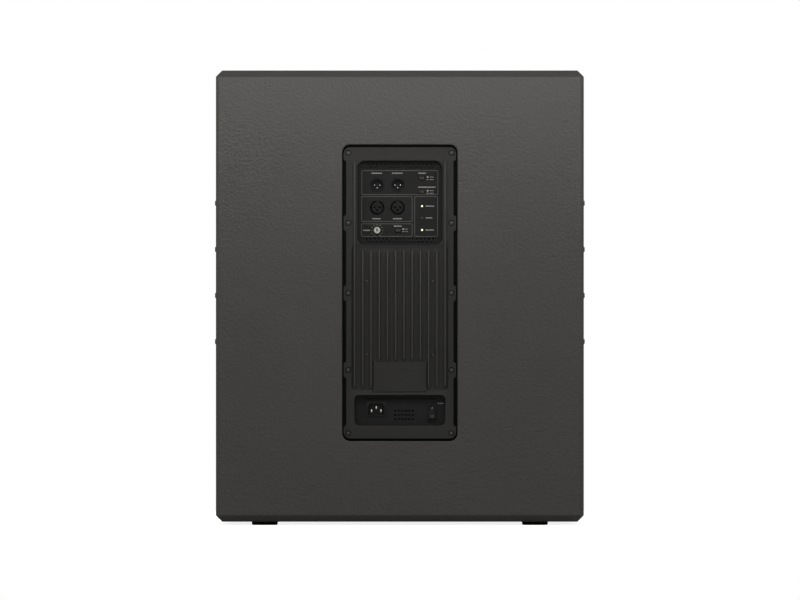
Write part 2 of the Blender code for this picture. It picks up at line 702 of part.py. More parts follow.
def on_woofer_axis(name, profile, material):
    """Turns a profile whose distances run forward from the baffle's front face."""
    return turned(name, profile, (0, BAFFLE_Y, WOOFER_Z), material)


def make_basket():
    wall = SEAT_RADIUS - BASKET_WALL
    seat_wall = SPIDER_SEAT_RADIUS + SPIDER_SEAT_WIDTH
    ledge = SEAT_RADIUS - SURROUND_CLEARANCE - SURROUND_SEAT
    profile = [
        (WOOFER_RADIUS, WOOFER_FLANGE + GAP),
        (WOOFER_RADIUS, GAP),
        (SEAT_RADIUS, GAP),
        (SEAT_RADIUS, -BASKET_NECK_DEPTH),
        (BASKET_RING_RADIUS, -BASKET_DEPTH + BASKET_RING),
        (BASKET_RING_RADIUS, -BASKET_DEPTH),
        (BASKET_BORE_RADIUS, -BASKET_DEPTH),
        (BASKET_BORE_RADIUS, -BASKET_DEPTH + BASKET_RING),
        (SPIDER_SEAT_RADIUS, -BASKET_DEPTH + BASKET_RING),
        (SPIDER_SEAT_RADIUS, -SPIDER_SEAT_DEPTH),
        (seat_wall, -SPIDER_SEAT_DEPTH),
        (wall, -BASKET_NECK_DEPTH),
        (wall, LEDGE_BACK),
        (ledge, LEDGE_BACK),
        (ledge, LEDGE_FRONT),
        (SEAT_RADIUS - FLANGE_LIP, LEDGE_FRONT),
        (SEAT_RADIUS - FLANGE_LIP, WOOFER_FLANGE + GAP),
    ]
    basket = on_woofer_axis("woofer_basket", profile, "aluminium")
    span = 2 * math.pi / BASKET_SPOKES
    windows = []
    for spoke in range(BASKET_SPOKES):
        start = spoke * span + SPOKE_ANGLE / 2
        radii = (seat_wall + WINDOW_FROM_SEAT, wall - WINDOW_FROM_WALL)
        windows.append(sector(*radii, start, start + span - SPOKE_ANGLE))
    place = (0, BAFFLE_Y, WOOFER_Z)
    ends = (-SPIDER_SEAT_DEPTH + WINDOW_ABOVE_SEAT, -BASKET_NECK_DEPTH - WINDOW_BELOW_NECK)
    cut(basket, prism("windows", windows, *ends, place=place))
    block = rectangle(TERMINAL_WIDTH, TERMINAL_HEIGHT, (0, -BASKET_RING_RADIUS))
    back = -BASKET_DEPTH - TERMINAL_DEPTH + BASKET_RING
    add(basket, prism("terminals", [block], back, -BASKET_DEPTH + BASKET_RING - OVERLAP, place=place))


def make_woofer_gasket():
    low = WOOFER_FLANGE + 2 * GAP
    inner, outer = SEAT_RADIUS - FLANGE_LIP, WOOFER_RADIUS
    profile = [(outer, low + GASKET_THICKNESS), (outer, low), (inner, low), (inner, low + GASKET_THICKNESS)]
    on_woofer_axis("woofer_gasket", profile, "rubber")


def surround_edges():
    """The radii of the surround's outer rim, its roll's middle and its inner rim."""
    outer = SEAT_RADIUS - SURROUND_CLEARANCE
    middle = SEAT_RADIUS - SURROUND_SEAT - ROLL_FROM_SEAT - SURROUND_ROLL
    return outer, middle, middle - SURROUND_ROLL - CONE_LIP


def make_surround():
    outer, middle, inner = surround_edges()
    low = LEDGE_FRONT + GAP
    high = low + SURROUND_THICKNESS
    profile = [(outer, low), (outer, high)]
    start = math.asin(SURROUND_THICKNESS / SURROUND_ROLL)
    for step in range(ROLL_STEPS + 1):
        angle = start + (math.pi - 2 * start) * step / ROLL_STEPS
        profile.append((middle + SURROUND_ROLL * math.cos(angle), low + SURROUND_ROLL * math.sin(angle)))
    profile += [(inner, high), (inner, low)]
    hollow = SURROUND_ROLL - SURROUND_THICKNESS
    for step in range(ROLL_STEPS + 1):
        angle = math.pi * (1 - step / ROLL_STEPS)
        profile.append((middle + hollow * math.cos(angle), low + hollow * math.sin(angle)))
    on_woofer_axis("surround", profile, "rubber")


def cone_front():
    """The (radius, distance) of the cone's front surface at its neck and at its edge."""
    inner = surround_edges()[2]
    return (COIL_RADIUS + GAP, -CONE_DEPTH + CONE_NECK), (inner + CONE_EDGE_INSET, LEDGE_FRONT)


def make_cone():
    neck, edge = cone_front()
    rim = surround_edges()[1] - SURROUND_ROLL + CONE_RIM_INSET
    profile = [
        (rim, edge[1]),
        (rim, edge[1] - CONE_THICKNESS),
        (neck[0] + CONE_NECK_WALL, -CONE_DEPTH),
        (neck[0], -CONE_DEPTH),
        neck,
        edge,
    ]
    on_woofer_axis("cone", profile, "paper")


def make_dust_cap():
    """A shallow dome seated on the front of the cone."""
    neck, edge = cone_front()
    slope = (edge[1] - neck[1]) / (edge[0] - neck[0])
    rim_y = neck[1] + slope * (DUST_CAP_RADIUS - neck[0]) + DUST_CAP_THICKNESS
    sphere = (DUST_CAP_RADIUS**2 + DUST_CAP_RISE**2) / (2 * DUST_CAP_RISE)
    centre_y = rim_y + DUST_CAP_RISE - sphere
    reach = math.asin(DUST_CAP_RADIUS / sphere)
    profile = []
    for step in range(DOME_STEPS + 1):
        angle = reach * step / DOME_STEPS
        profile.append((sphere * math.sin(angle), centre_y + sphere * math.cos(angle)))
    thin = sphere - DUST_CAP_THICKNESS
    for step in range(DOME_STEPS + 1):
        angle = reach * (1 - step / DOME_STEPS)
        profile.append((thin * math.sin(angle), centre_y + thin * math.cos(angle)))
    on_woofer_axis("dust_cap", profile, "paper")


def make_spider():
    """A disc pressed into round waves, between the voice coil and its seat on the basket."""
    inner, outer = COIL_RADIUS + GAP, SPIDER_SEAT_RADIUS + SPIDER_RIM
    middle = -SPIDER_SEAT_DEPTH + GAP + SPIDER_THICKNESS / 2
    steps = 2 * SPIDER_WAVES
    waved = SPIDER_SEAT_RADIUS - SPIDER_FLAT
    front, back = [], []
    for step in range(steps + 1):
        radius = inner + (waved - inner) * step / steps
        wave = SPIDER_WAVE_HEIGHT * (step % 2)
        front.append((radius, middle + wave + SPIDER_THICKNESS / 2))
        back.append((radius, middle + wave - SPIDER_THICKNESS / 2))
    front.append((outer, middle + SPIDER_THICKNESS / 2))
    back.append((outer, middle - SPIDER_THICKNESS / 2))
    on_woofer_axis("spider", front + back[::-1], "cloth")


def make_voice_coil():
    outer, inner = COIL_RADIUS, COIL_RADIUS - COIL_WALL
    low, high = -COIL_START - COIL_LENGTH, -COIL_START
    on_woofer_axis("voice_coil", [(outer, high), (outer, low), (inner, low), (inner, high)], "copper")


def make_motor():
    """Steel top plate, ring magnet, and a back plate in one piece with the vented pole."""
    top = -BASKET_DEPTH - GAP
    bore = COIL_RADIUS + COIL_CLEARANCE
    plate = [
        (TOP_PLATE_RADIUS, top),
        (TOP_PLATE_RADIUS, top - TOP_PLATE),
        (bore, top - TOP_PLATE),
        (bore, top),
    ]
    on_woofer_axis("top_plate", plate, "steel")
    magnet_top = top - TOP_PLATE - GAP
    magnet = [
        (MAGNET_RADIUS, magnet_top),
        (MAGNET_RADIUS, magnet_top - MAGNET),
        (MAGNET_BORE_RADIUS, magnet_top - MAGNET),
        (MAGNET_BORE_RADIUS, magnet_top),
    ]
    on_woofer_axis("magnet", magnet, "ferrite")
    back_top = magnet_top - MAGNET - GAP
    pole = COIL_RADIUS - COIL_WALL - POLE_CLEARANCE
    pole_top = -BASKET_DEPTH + POLE_RISE
    back = [
        (TOP_PLATE_RADIUS, back_top),
        (TOP_PLATE_RADIUS, back_top - BACK_PLATE),
        (POLE_VENT_RADIUS, back_top - BACK_PLATE),
        (POLE_VENT_RADIUS, pole_top),
        (pole, pole_top),
        (pole, back_top),
    ]
    on_woofer_axis("back_plate_and_pole", back, "steel")


# Amplifier plate


def recess_outlines(margin=0.0):
    """The control recess and the mains recess, grown by a margin."""
    found = []
    for width, bottom, top, corner in (
        (CONTROL_WIDTH, CONTROL_BOTTOM, CONTROL_TOP, CONTROL_CORNER),
        (MAINS_WIDTH, MAINS_BOTTOM, MAINS_TOP, MAINS_CORNER),
    ):
        height, centre = top - bottom, (0, (top + bottom) / 2)
        found.append(rounded(width + 2 * margin, height + 2 * margin, corner + margin, centre))
    return found


def plate_notches():
    """The plate's sides are stepped in between the screw bosses."""
    notches = []
    for low, high in zip(BOSS_HEIGHTS, BOSS_HEIGHTS[1:]):
        height = high - low - SCREW_BOSS_HEIGHT
        for side in (-1, 1):
            centre = (side * PLATE_WIDTH / 2, (low + high) / 2)
            notches.append(rectangle(2 * NOTCH_DEPTH, height, centre))
    return notches


def fin_spans():
    """The (x, bottom, top) of each fin: the outer ones are longer, past the blank pad and the recess."""
    spans = []
    for index in range(FIN_COUNT):
        from_middle = index - (FIN_COUNT - 1) / 2
        outermost = index in (0, FIN_COUNT - 1)
        inner = abs(from_middle) < FIN_INNER_COUNT / 2
        low = FIN_INNER_BOTTOM if inner else FIN_OUTER_BOTTOM
        spans.append((from_middle * FIN_PITCH, low, FIN_OUTER_TOP if outermost else FIN_TOP))
    return spans


def fins():
    """Thin ribs with drafted sides and ramped ends, rising from the plate towards -Y."""
    bm = bmesh.new()
    root_y = PLATE_FACE_Y + PLATE_THICKNESS / 2
    tip_y = PLATE_FACE_Y - FIN_RISE
    for x, bottom, top in fin_spans():
        corners = [(x + a, root_y, z) for z in (bottom, top) for a in (-FIN_BASE / 2, FIN_BASE / 2)]
        ramped = (bottom + FIN_RAMP, top - FIN_RAMP)
        corners += [(x + a, tip_y, z) for z in ramped for a in (-FIN_TIP / 2, FIN_TIP / 2)]
        points = [bm.verts.new(corner) for corner in corners]
        bmesh.ops.convex_hull(bm, input=points)
    return place_mesh("fins", bm, (0, 0, 0), None, False)


def make_amp_plate():
    outline = rounded(PLATE_WIDTH, PLATE_HEIGHT, POCKET_CORNER - PLATE_SIDE_CLEARANCE, (0, POCKET_Z))
    plate = prism("amp_plate", [outline], PLATE_FACE_Y, PLATE_BACK_Y, material="black_aluminium")
    cut(plate, prism("notches", plate_notches(), REAR_Y, PLATE_BACK_Y + OVERRUN))
    add(plate, prism("recess_walls", recess_outlines(RECESS_WALL), PLATE_FACE_Y + GAP, PANEL_Y - GAP))
    add(plate, fins())
    cut(plate, prism("recesses", recess_outlines(), REAR_Y, PANEL_Y + OVERRUN))


def make_amp_gasket():
    """A flat seal on the pocket's ledge, inside the notches."""
    width = PLATE_WIDTH - 2 * NOTCH_DEPTH
    outer = rounded(width, PLATE_HEIGHT - 2 * NOTCH_DEPTH, CUTOUT_CORNER, (0, POCKET_Z))
    inner = rounded(CUTOUT_WIDTH, CUTOUT_HEIGHT, CUTOUT_CORNER, (0, POCKET_Z))
    low = PLATE_BACK_Y + GAP
    gasket = prism("amp_gasket", [outer], low, low + PLATE_GASKET, material="rubber")
    cut(gasket, prism("inside", [inner], REAR_Y, low + OVERRUN))


def make_panels():
    control, mains = recess_outlines(RECESS_WALL)
    panel = prism("control_panel", [control], PANEL_Y, PANEL_BACK_Y, material="powder_coat")
    ends = (PANEL_Y - OVERRUN, PANEL_BACK_Y + OVERRUN)
    sockets = [(x, z) for x in SOCKET_XS for z in (OUTPUT_Z, INPUT_Z)]
    cut(panel, drums(SOCKET_RADIUS + GAP, *ends, sockets, SOCKET_SEGMENTS))
    cut(panel, drums(LED_RADIUS + GAP, *ends, [(LED_X, z) for z in LED_ZS.values()], SCREW_SEGMENTS))
    cut(panel, drum(SHAFT_RADIUS + FIT, *ends, KNOB_PLACE))
    slots = [rectangle(BUTTON_WIDTH + FIT, BUTTON_HEIGHT + FIT, at) for at in BUTTON_PLACES.values()]
    cut(panel, prism("slots", slots, *ends))
    mains_panel = prism("mains_panel", [mains], PANEL_Y, PANEL_BACK_Y, material="powder_coat")
    openings = [
        rectangle(INLET_WIDTH + 2 * GAP, INLET_HEIGHT + 2 * GAP, INLET_PLACE),
        rectangle(
            BEZEL_WIDTH - 2 * BEZEL_LIP + 2 * GAP, BEZEL_HEIGHT - 2 * BEZEL_LIP + 2 * GAP, SWITCH_PLACE
        ),
    ]
    cut(mains_panel, prism("openings", openings, *ends))


# Sockets and controls


def contact_places(centre):
    """Three contacts on a circle: a level pair, and the third below them."""
    x, z = centre
    reach = SOCKET_PIN_CIRCLE
    return [(x + reach * math.cos(angle), z + reach * math.sin(angle)) for angle in CONTACT_ANGLES]


def make_sockets():
    front = PANEL_Y - SOCKET_PROUD
    back = PANEL_Y + SOCKET_DEPTH
    for hand, x in zip(("left", "right"), SOCKET_XS):
        centre = (x, OUTPUT_Z)
        body = circle(SOCKET_RADIUS, centre, SOCKET_SEGMENTS)
        male = prism(f"{hand}_output_socket", [body], front, back, material="black_plastic", smooth=True)
        cut(male, drum(SOCKET_BORE_RADIUS, front - OVERRUN, front + SOCKET_CAVITY, centre, SOCKET_SEGMENTS))
        ends = (front + SOCKET_PIN_SHORT, front + SOCKET_CAVITY + OVERLAP)
        add(male, drums(SOCKET_PIN_RADIUS, *ends, contact_places(centre), PIN_SEGMENTS))
        centre = (x, INPUT_Z)
        body = circle(SOCKET_RADIUS, centre, SOCKET_SEGMENTS)
        female = prism(f"{hand}_input_socket", [body], front, back, material="black_plastic", smooth=True)
        ends = (front - OVERRUN, front + INSERT_SETBACK)
        cut(female, drum(SOCKET_BORE_RADIUS, *ends, centre, SOCKET_SEGMENTS))
        ends = (front, front + SOCKET_CAVITY)
        cut(female, drums(INSERT_HOLE_RADIUS, *ends, contact_places(centre), PIN_SEGMENTS))


def make_level_control():
    """A knob on the shaft of a potentiometer. The knob's pointer is a groove."""
    place = (KNOB_PLACE[0], PANEL_Y, KNOB_PLACE[1])
    bore = SHAFT_RADIUS + GAP
    bore_end = -KNOB_LIFT - KNOB_BORE_DEPTH
    profile = [
        (0, -KNOB_HEIGHT),
        (KNOB_RADIUS - KNOB_EDGE, -KNOB_HEIGHT),
        (KNOB_RADIUS, -KNOB_HEIGHT + KNOB_EDGE),
        (KNOB_RADIUS, -KNOB_LIFT),
        (bore, -KNOB_LIFT),
        (bore, bore_end),
        (0, bore_end),
    ]
    knob = turned("level_knob", profile, place, "grey_plastic", KNOB_SEGMENTS)
    groove = rectangle(POINTER_WIDTH, KNOB_RADIUS, (0, POINTER_START + KNOB_RADIUS / 2))
    ends = (-KNOB_HEIGHT - OVERRUN, -KNOB_HEIGHT + POINTER_DEPTH)
    cut(knob, prism("groove", [groove], *ends, place=place))
    back = SOCKET_DEPTH
    square = rectangle(POT_SIDE, POT_SIDE)
    pot = prism("level_pot", [square], back - POT_DEPTH, back, place=place, material="black_plastic")
    ends = (bore_end + GAP, back - POT_DEPTH + OVERLAP)
    add(pot, prism("shaft", [circle(SHAFT_RADIUS)], *ends, place=place))


def make_button(name, place):
    """A cap on a stem that slides into its switch, which stands on the board."""
    at = (place[0], PANEL_Y, place[1])
    back = BUTTON_LENGTH - BUTTON_PROUD
    cap = rectangle(BUTTON_WIDTH, BUTTON_HEIGHT)
    button = prism(name, [cap], -BUTTON_PROUD, back, place=at, material="black_plastic")
    stem_end = back + BUTTON_STEM
    stem = circle(BUTTON_STEM_RADIUS, segments=SCREW_SEGMENTS)
    add(button, prism("stem", [stem], back - OVERLAP, stem_end, place=at))
    switch_front = back + BUTTON_TRAVEL + BUTTON_SPARE
    body = rectangle(SWITCH_SIDE_X, SWITCH_SIDE_Z)
    name = name.replace("button", "switch")
    switch = prism(name, [body], switch_front, SOCKET_DEPTH, place=at, material="black_plastic")
    bore = circle(BUTTON_STEM_RADIUS + GAP, segments=SCREW_SEGMENTS)
    ends = (switch_front - OVERRUN, stem_end + BUTTON_TRAVEL + OVERLAP)
    cut(switch, prism("bore", [bore], *ends, place=at))


def make_leds():
    profile = [
        (0, -LED_PROUD),
        (LED_TIP_RADIUS, -LED_PROUD + LED_TIP),
        (LED_RADIUS, -LED_PROUD + LED_DOME),
        (LED_RADIUS, SOCKET_DEPTH),
        (0, SOCKET_DEPTH),
    ]
    for name, z in LED_ZS.items():
        material = "dark_lens" if name == "limit_led" else "lit_lens"
        turned(name, profile, (LED_X, PANEL_Y, z), material, SCREW_SEGMENTS)


# Mains


def make_mains_inlet():
    x, z = INLET_PLACE
    front = PANEL_Y - INLET_FLANGE
    size = (INLET_WIDTH + 2 * INLET_RIM, INLET_HEIGHT + 2 * INLET_RIM)
    flange = rounded(*size, INLET_CORNER, INLET_PLACE)
    inlet = prism("mains_inlet", [flange], front, PANEL_Y - GAP, material="black_plastic")
    body = rectangle(INLET_WIDTH, INLET_HEIGHT, INLET_PLACE)
    add(inlet, prism("body", [body], front + GAP, front + INLET_DEPTH))
    cavity = chamfered(
        INLET_CAVITY_WIDTH, INLET_CAVITY_HEIGHT, INLET_CORNER_CUT, INLET_PLACE, (1, 1, 0, 0)
    )
    cut(inlet, prism("cavity", [cavity], front - OVERRUN, front + INLET_CAVITY))
    half = INLET_PIN_SPACING / 2
    centres = ((x, z + INLET_PIN_RISE), (x - half, z - INLET_PIN_DROP), (x + half, z - INLET_PIN_DROP))
    pins = [rectangle(*INLET_PIN, centre) for centre in centres]
    add(inlet, prism("pins", pins, front + INLET_PIN_SHORT, front + INLET_CAVITY + OVERLAP))


def rocker_outline():
    """The (y, z) outline with the rocker level: two flats that meet in a shallow valley over the pivot."""
    tip = -ROCKER_FACE - ROCKER_HALF_LENGTH * math.tan(ROCKER_THROW / 2)
    half = ROCKER_HALF_LENGTH
    return [
        (tip, -half),
        (ROCKER_BACK, -ROCKER_WAIST),
        (ROCKER_BACK, ROCKER_WAIST),
        (tip, half),
        (-ROCKER_FACE, 0),
    ]


def make_power_switch():
    """Stored switched on, with the rocker's upper half pressed in."""
    x, z = SWITCH_PLACE
    front = PANEL_Y - BEZEL_PROUD
    bezel = rounded(BEZEL_WIDTH, BEZEL_HEIGHT, BEZEL_CORNER, SWITCH_PLACE, BEZEL_STEPS)
    housing = prism("power_switch_housing", [bezel], front, PANEL_Y - GAP, material="black_plastic")
    body = rectangle(BEZEL_WIDTH - 2 * BEZEL_LIP, BEZEL_HEIGHT - 2 * BEZEL_LIP, SWITCH_PLACE)
    add(housing, prism("body", [body], front + GAP, front + SWITCH_DEPTH))
    outline = rocker_outline()
    reach = max(math.hypot(y, along) for y, along in outline) + GAP
    well = rectangle(ROCKER_WIDTH + 2 * GAP, 2 * reach, SWITCH_PLACE)
    cut(housing, prism("well", [well], front - OVERRUN, front + ROCKER_WELL))
    pivot = (x, PANEL_Y + ROCKER_PIVOT_DEPTH, z)
    half = ROCKER_WIDTH / 2
    rocker = prism("power_rocker", [outline], -half, half, "X", pivot, "black_plastic")
    rocker.rotation_euler.x = -ROCKER_THROW / 2


# Inside the cover


def posts(width, bottom, top, low, high):
    centres = []
    for side in (-1, 1):
        x = side * (width / 2 - POST_INSET)
        centres += [(x, bottom + POST_INSET), (x, top - POST_INSET)]
    return drums(POST_RADIUS, low, high, centres, SCREW_SEGMENTS)


def make_boards():
    width = CONTROL_WIDTH - 2 * BOARD_MARGIN
    bottom, top = CONTROL_BOTTOM + BOARD_MARGIN, CONTROL_TOP - BOARD_MARGIN
    low, high = CONTROL_BOARD_Y, CONTROL_BOARD_Y + BOARD_THICKNESS
    outline = rectangle(width, top - bottom, (0, (top + bottom) / 2))
    control = prism("control_board", [outline], low, high, material="circuit_board")
    add(control, posts(width, bottom, top, PANEL_BACK_Y + GAP, low + OVERLAP))

    bottom, top = AMP_BOARD_BOTTOM, AMP_BOARD_TOP
    outline = rectangle(BOARDS_WIDTH, top - bottom, (0, (top + bottom) / 2))
    low, high = AMP_BOARD_Y, AMP_BOARD_Y + BOARD_THICKNESS
    board = prism("amplifier_board", [outline], low, high, material="circuit_board")
    add(board, posts(BOARDS_WIDTH, bottom, top, PLATE_BACK_Y + GAP, low + OVERLAP))
    spreader = rectangle(*SPREADER, (0, SPREADER_Z))
    add(board, prism("spreader", [spreader], PLATE_BACK_Y + GAP, low + OVERLAP))

    bottom, top = SUPPLY_BOARD_BOTTOM, SUPPLY_BOARD_TOP
    outline = rectangle(BOARDS_WIDTH, top - bottom, (0, (top + bottom) / 2))
    low, high = SUPPLY_BOARD_Y, SUPPLY_BOARD_Y + BOARD_THICKNESS
    supply = prism("power_supply_board", [outline], low, high, material="circuit_board")
    add(supply, posts(BOARDS_WIDTH, bottom, top, high - OVERLAP, COVER_BACK_Y - COVER_SHEET - GAP))
    add(supply, drums(CAPACITOR_RADIUS, low - CAPACITOR_HEIGHT, low + OVERLAP, CAPACITOR_PLACES))


def make_transformer():
    """A ferrite core with a bulging winding, standing on the power supply's board."""
    width, depth, height = TRANSFORMER
    back = SUPPLY_BOARD_Y - GAP
    core = rectangle(width, height, (0, TRANSFORMER_Z))
    core = prism("power_transformer", [core], back - depth, back, material="ferrite")
    size = (width + 2 * WINDING_BULGE, height - 2 * WINDING_FROM_END)
    winding = rounded(*size, WINDING_CORNER, (0, TRANSFORMER_Z))
    add(core, prism("winding", [winding], back - depth + WINDING_INSET, back - WINDING_INSET))


def make_amp_cover():
    """A deep tray behind the plate, with the speaker cable's gland in its back."""
    outer = rounded(COVER_WIDTH, COVER_HEIGHT, CUTOUT_CORNER, (0, POCKET_Z))
    low = PLATE_BACK_Y + GAP
    cover = prism("amp_cover", [outer], low, COVER_BACK_Y, material="steel")
    narrow, short = COVER_WIDTH - 2 * COVER_SHEET, COVER_HEIGHT - 2 * COVER_SHEET
    inner = rounded(narrow, short, CUTOUT_CORNER - COVER_SHEET, (0, POCKET_Z))
    cut(cover, prism("inside", [inner], REAR_Y, COVER_BACK_Y - COVER_SHEET))
    ends = (COVER_BACK_Y - COVER_SHEET / 2, COVER_BACK_Y + CABLE_GLAND)
    add(cover, drum(CABLE_GLAND_RADIUS, *ends, CABLE_START, GLAND_SEGMENTS))


def make_speaker_cable():
    """A smooth line from the gland to the woofer's terminals, straight where it meets each of them."""
    start_x, start_z = CABLE_START
    start = (start_x, COVER_BACK_Y + CABLE_GLAND + GAP, start_z)
    terminal_y = BAFFLE_Y - BASKET_DEPTH - TERMINAL_DEPTH + BASKET_RING
    end = (0, terminal_y - GAP, WOOFER_Z - BASKET_RING_RADIUS - TERMINAL_HEIGHT / 4)
    pull = (end[1] - start[1]) * CABLE_PULL
    bend_start = (start[0], start[1] + CABLE_LEAD, start[2])
    bend_end = (end[0], end[1] - CABLE_LEAD, end[2])
    handles = (
        bend_start,
        (start[0], start[1] + pull, start[2]),
        (end[0], end[1] - pull, end[2]),
        bend_end,
    )
    curve = bpy.data.curves.new("speaker_cable", "CURVE")
    curve.dimensions = "3D"
    curve.bevel_depth = CABLE_RADIUS
    curve.bevel_resolution = 2
    curve.use_fill_caps = True
    line = curve.splines.new("POLY")
    line.points.add(CABLE_POINTS + 1)
    route = [start]
    for index in range(CABLE_POINTS):
        t = index / (CABLE_POINTS - 1)
        weights = ((1 - t) ** 3, 3 * t * (1 - t) ** 2, 3 * t * t * (1 - t), t**3)
        route.append([sum(w * handle[axis] for w, handle in zip(weights, handles)) for axis in range(3)])
    for point, place in zip(line.points, route + [end]):
        point.co = (*place, 1)
    cable = bpy.data.objects.new("speaker_cable", curve)
    curve.materials.append(finish("rubber"))
    bpy.context.scene.collection.objects.link(cable)


def main():
    clear_scene()
    make_horizontal_boards()
    make_side_board("left_side_panel", -1)
    make_side_board("right_side_panel", 1)
    make_rear_panel()
    make_front_baffle()
    make_braces()
    make_feet()
    make_pole_socket()
    make_handle("left", -1)
    make_handle("right", 1)
    make_grille()
    make_ports()
    make_basket()
    make_woofer_gasket()
    make_surround()
    make_cone()
    make_dust_cap()
    make_spider()
    make_voice_coil()
    make_motor()
    make_amp_plate()
    make_amp_gasket()
    make_panels()
    make_sockets()
    make_level_control()
    for name, place in BUTTON_PLACES.items():
        make_button(name, place)
    make_leds()
    make_mains_inlet()
    make_power_switch()
    make_boards()
    make_transformer()
    make_amp_cover()
    make_speaker_cable()


main()
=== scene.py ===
"""A large powered subwoofer seen from its amplifier side: the finished pieces and their finishes."""

import math

import bmesh
import bpy
from mathutils import Matrix, Vector


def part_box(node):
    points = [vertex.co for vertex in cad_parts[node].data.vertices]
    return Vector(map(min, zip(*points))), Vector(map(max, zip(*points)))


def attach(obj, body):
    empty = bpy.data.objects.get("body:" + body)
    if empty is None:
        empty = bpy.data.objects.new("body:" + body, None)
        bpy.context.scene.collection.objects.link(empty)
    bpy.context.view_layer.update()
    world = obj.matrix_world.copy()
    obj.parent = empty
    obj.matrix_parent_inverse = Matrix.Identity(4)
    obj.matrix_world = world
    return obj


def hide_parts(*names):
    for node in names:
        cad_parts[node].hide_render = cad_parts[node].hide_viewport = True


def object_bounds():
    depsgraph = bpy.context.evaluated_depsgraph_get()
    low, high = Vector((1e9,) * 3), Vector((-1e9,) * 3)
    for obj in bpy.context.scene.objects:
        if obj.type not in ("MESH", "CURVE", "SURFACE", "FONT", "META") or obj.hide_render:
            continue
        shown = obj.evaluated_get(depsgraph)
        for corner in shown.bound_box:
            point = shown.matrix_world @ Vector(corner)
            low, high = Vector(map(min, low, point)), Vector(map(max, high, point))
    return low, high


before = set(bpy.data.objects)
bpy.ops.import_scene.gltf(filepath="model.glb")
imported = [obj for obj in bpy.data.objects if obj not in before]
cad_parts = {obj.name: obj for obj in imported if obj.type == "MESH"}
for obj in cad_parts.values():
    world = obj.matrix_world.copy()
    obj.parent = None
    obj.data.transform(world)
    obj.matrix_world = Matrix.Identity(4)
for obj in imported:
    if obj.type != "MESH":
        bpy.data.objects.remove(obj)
CAD_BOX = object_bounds()

MM = 0.001
FULL_TURN = 2 * math.pi
SHARP = math.radians(32)
QUARTER_TURN = [math.radians(degrees) for degrees in (0, 22.5, 45, 67.5, 90)]
WELD = 0.0005 * MM
SLIVER = 0.001 * MM
LEVEL_ERROR = 0.01 * MM
MESH_WELD = 0.05 * MM
FLAT_WIDTH = 4 * MM
SLOTS = {name: node.data.materials[0].name for name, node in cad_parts.items()}

# Each side of the cabinet, as the turn that lays a flat shape on it, facing outwards
REAR = Matrix(((1, 0, 0, 0), (0, 0, -1, 0), (0, 1, 0, 0), (0, 0, 0, 1)))
FRONT = Matrix(((-1, 0, 0, 0), (0, 0, 1, 0), (0, 1, 0, 0), (0, 0, 0, 1)))
RIGHT = Matrix(((0, 0, 1, 0), (1, 0, 0, 0), (0, 1, 0, 0), (0, 0, 0, 1)))
LEFT = Matrix(((0, 0, -1, 0), (-1, 0, 0, 0), (0, 1, 0, 0), (0, 0, 0, 1)))
TOP = Matrix.Identity(4)
UNDER = Matrix.Rotation(math.pi, 4, "X")


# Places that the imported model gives


def low(node):
    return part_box(node)[0]


def high(node):
    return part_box(node)[1]


def middle(node):
    return (low(node) + high(node)) / 2


def size(node):
    return high(node) - low(node)


def around(*nodes):
    """The box round several nodes."""
    lowest = Vector([min(low(node)[axis] for node in nodes) for axis in range(3)])
    highest = Vector([max(high(node)[axis] for node in nodes) for axis in range(3)])
    return lowest, highest


# Shapes


def flat(width, length, corner=0.0, steps=5, cut=False):
    """A flat rectangle with rounded corners or, if cut, with only its two far corners cut off."""
    bm = bmesh.new()
    bmesh.ops.create_grid(bm, x_segments=1, y_segments=1, size=0.5)
    bmesh.ops.scale(bm, vec=(width, length, 1), verts=bm.verts[:])
    if corner:
        corners = [vert for vert in bm.verts if vert.co.y > 0] if cut else bm.verts[:]
        bmesh.ops.bevel(
            bm,
            geom=corners,
            offset=corner,
            offset_type="OFFSET",
            affect="VERTICES",
            segments=1 if cut else steps,
            profile=0.5,
            material=-1,
        )
    return bm


def disc(radius, segments=24):
    bm = bmesh.new()
    bmesh.ops.create_circle(bm, cap_ends=True, segments=segments, radius=radius)
    return bm


def moved(bm, at, facing=TOP):
    bmesh.ops.transform(bm, matrix=Matrix.Translation(at) @ facing, verts=bm.verts[:])
    return bm


def joined(*shapes):
    """Several shapes as one."""
    mesh = bpy.data.meshes.new("shape")
    whole = bmesh.new()
    for shape in shapes:
        shape.to_mesh(mesh)
        shape.free()
        whole.from_mesh(mesh)
    bpy.data.meshes.remove(mesh)
    return whole


def everything(bm):
    return bm.verts[:] + bm.edges[:] + bm.faces[:]


def new_verts(made):
    """The corners that an operator has made."""
    return [part for part in made["geom"] if isinstance(part, bmesh.types.BMVert)]


def outward(bm):
    """Welds the mesh and turns its faces outwards."""
    bmesh.ops.remove_doubles(bm, verts=bm.verts[:], dist=WELD)
    bmesh.ops.recalc_face_normals(bm, faces=bm.faces[:])
    return bm


def raised(bm, height):
    """Gives a flat shape a thickness, upwards."""
    made = bmesh.ops.extrude_face_region(bm, geom=bm.faces[:])
    bmesh.ops.translate(bm, verts=new_verts(made), vec=(0, 0, height))
    return outward(bm)


def softened(bm, radius, segments=2, chosen=None):
    """Rounds the sharp edges, or those of them that are chosen."""
    sharp = [
        edge
        for edge in bm.edges
        if edge.is_manifold and edge.calc_face_angle(0) > SHARP and (chosen is None or chosen(edge))
    ]
    bmesh.ops.bevel(
        bm,
        geom=sharp,
        offset=radius,
        offset_type="OFFSET",
        affect="EDGES",
        segments=segments,
        profile=0.5,
        material=-1,
        clamp_overlap=True,
    )
    return bm


def at_level(level):
    """Chooses the edges that lie at one height."""
    return lambda edge: all(abs(vert.co.z - level) < LEVEL_ERROR for vert in edge.verts)


def slab(outline, bottom, top, edge=0.0, segments=2):
    """An outline stood up between two heights, with its upper edge rounded."""
    bm = raised(moved(outline, (0, 0, bottom)), top - bottom)
    return softened(bm, edge, segments, at_level(top)) if edge else bm


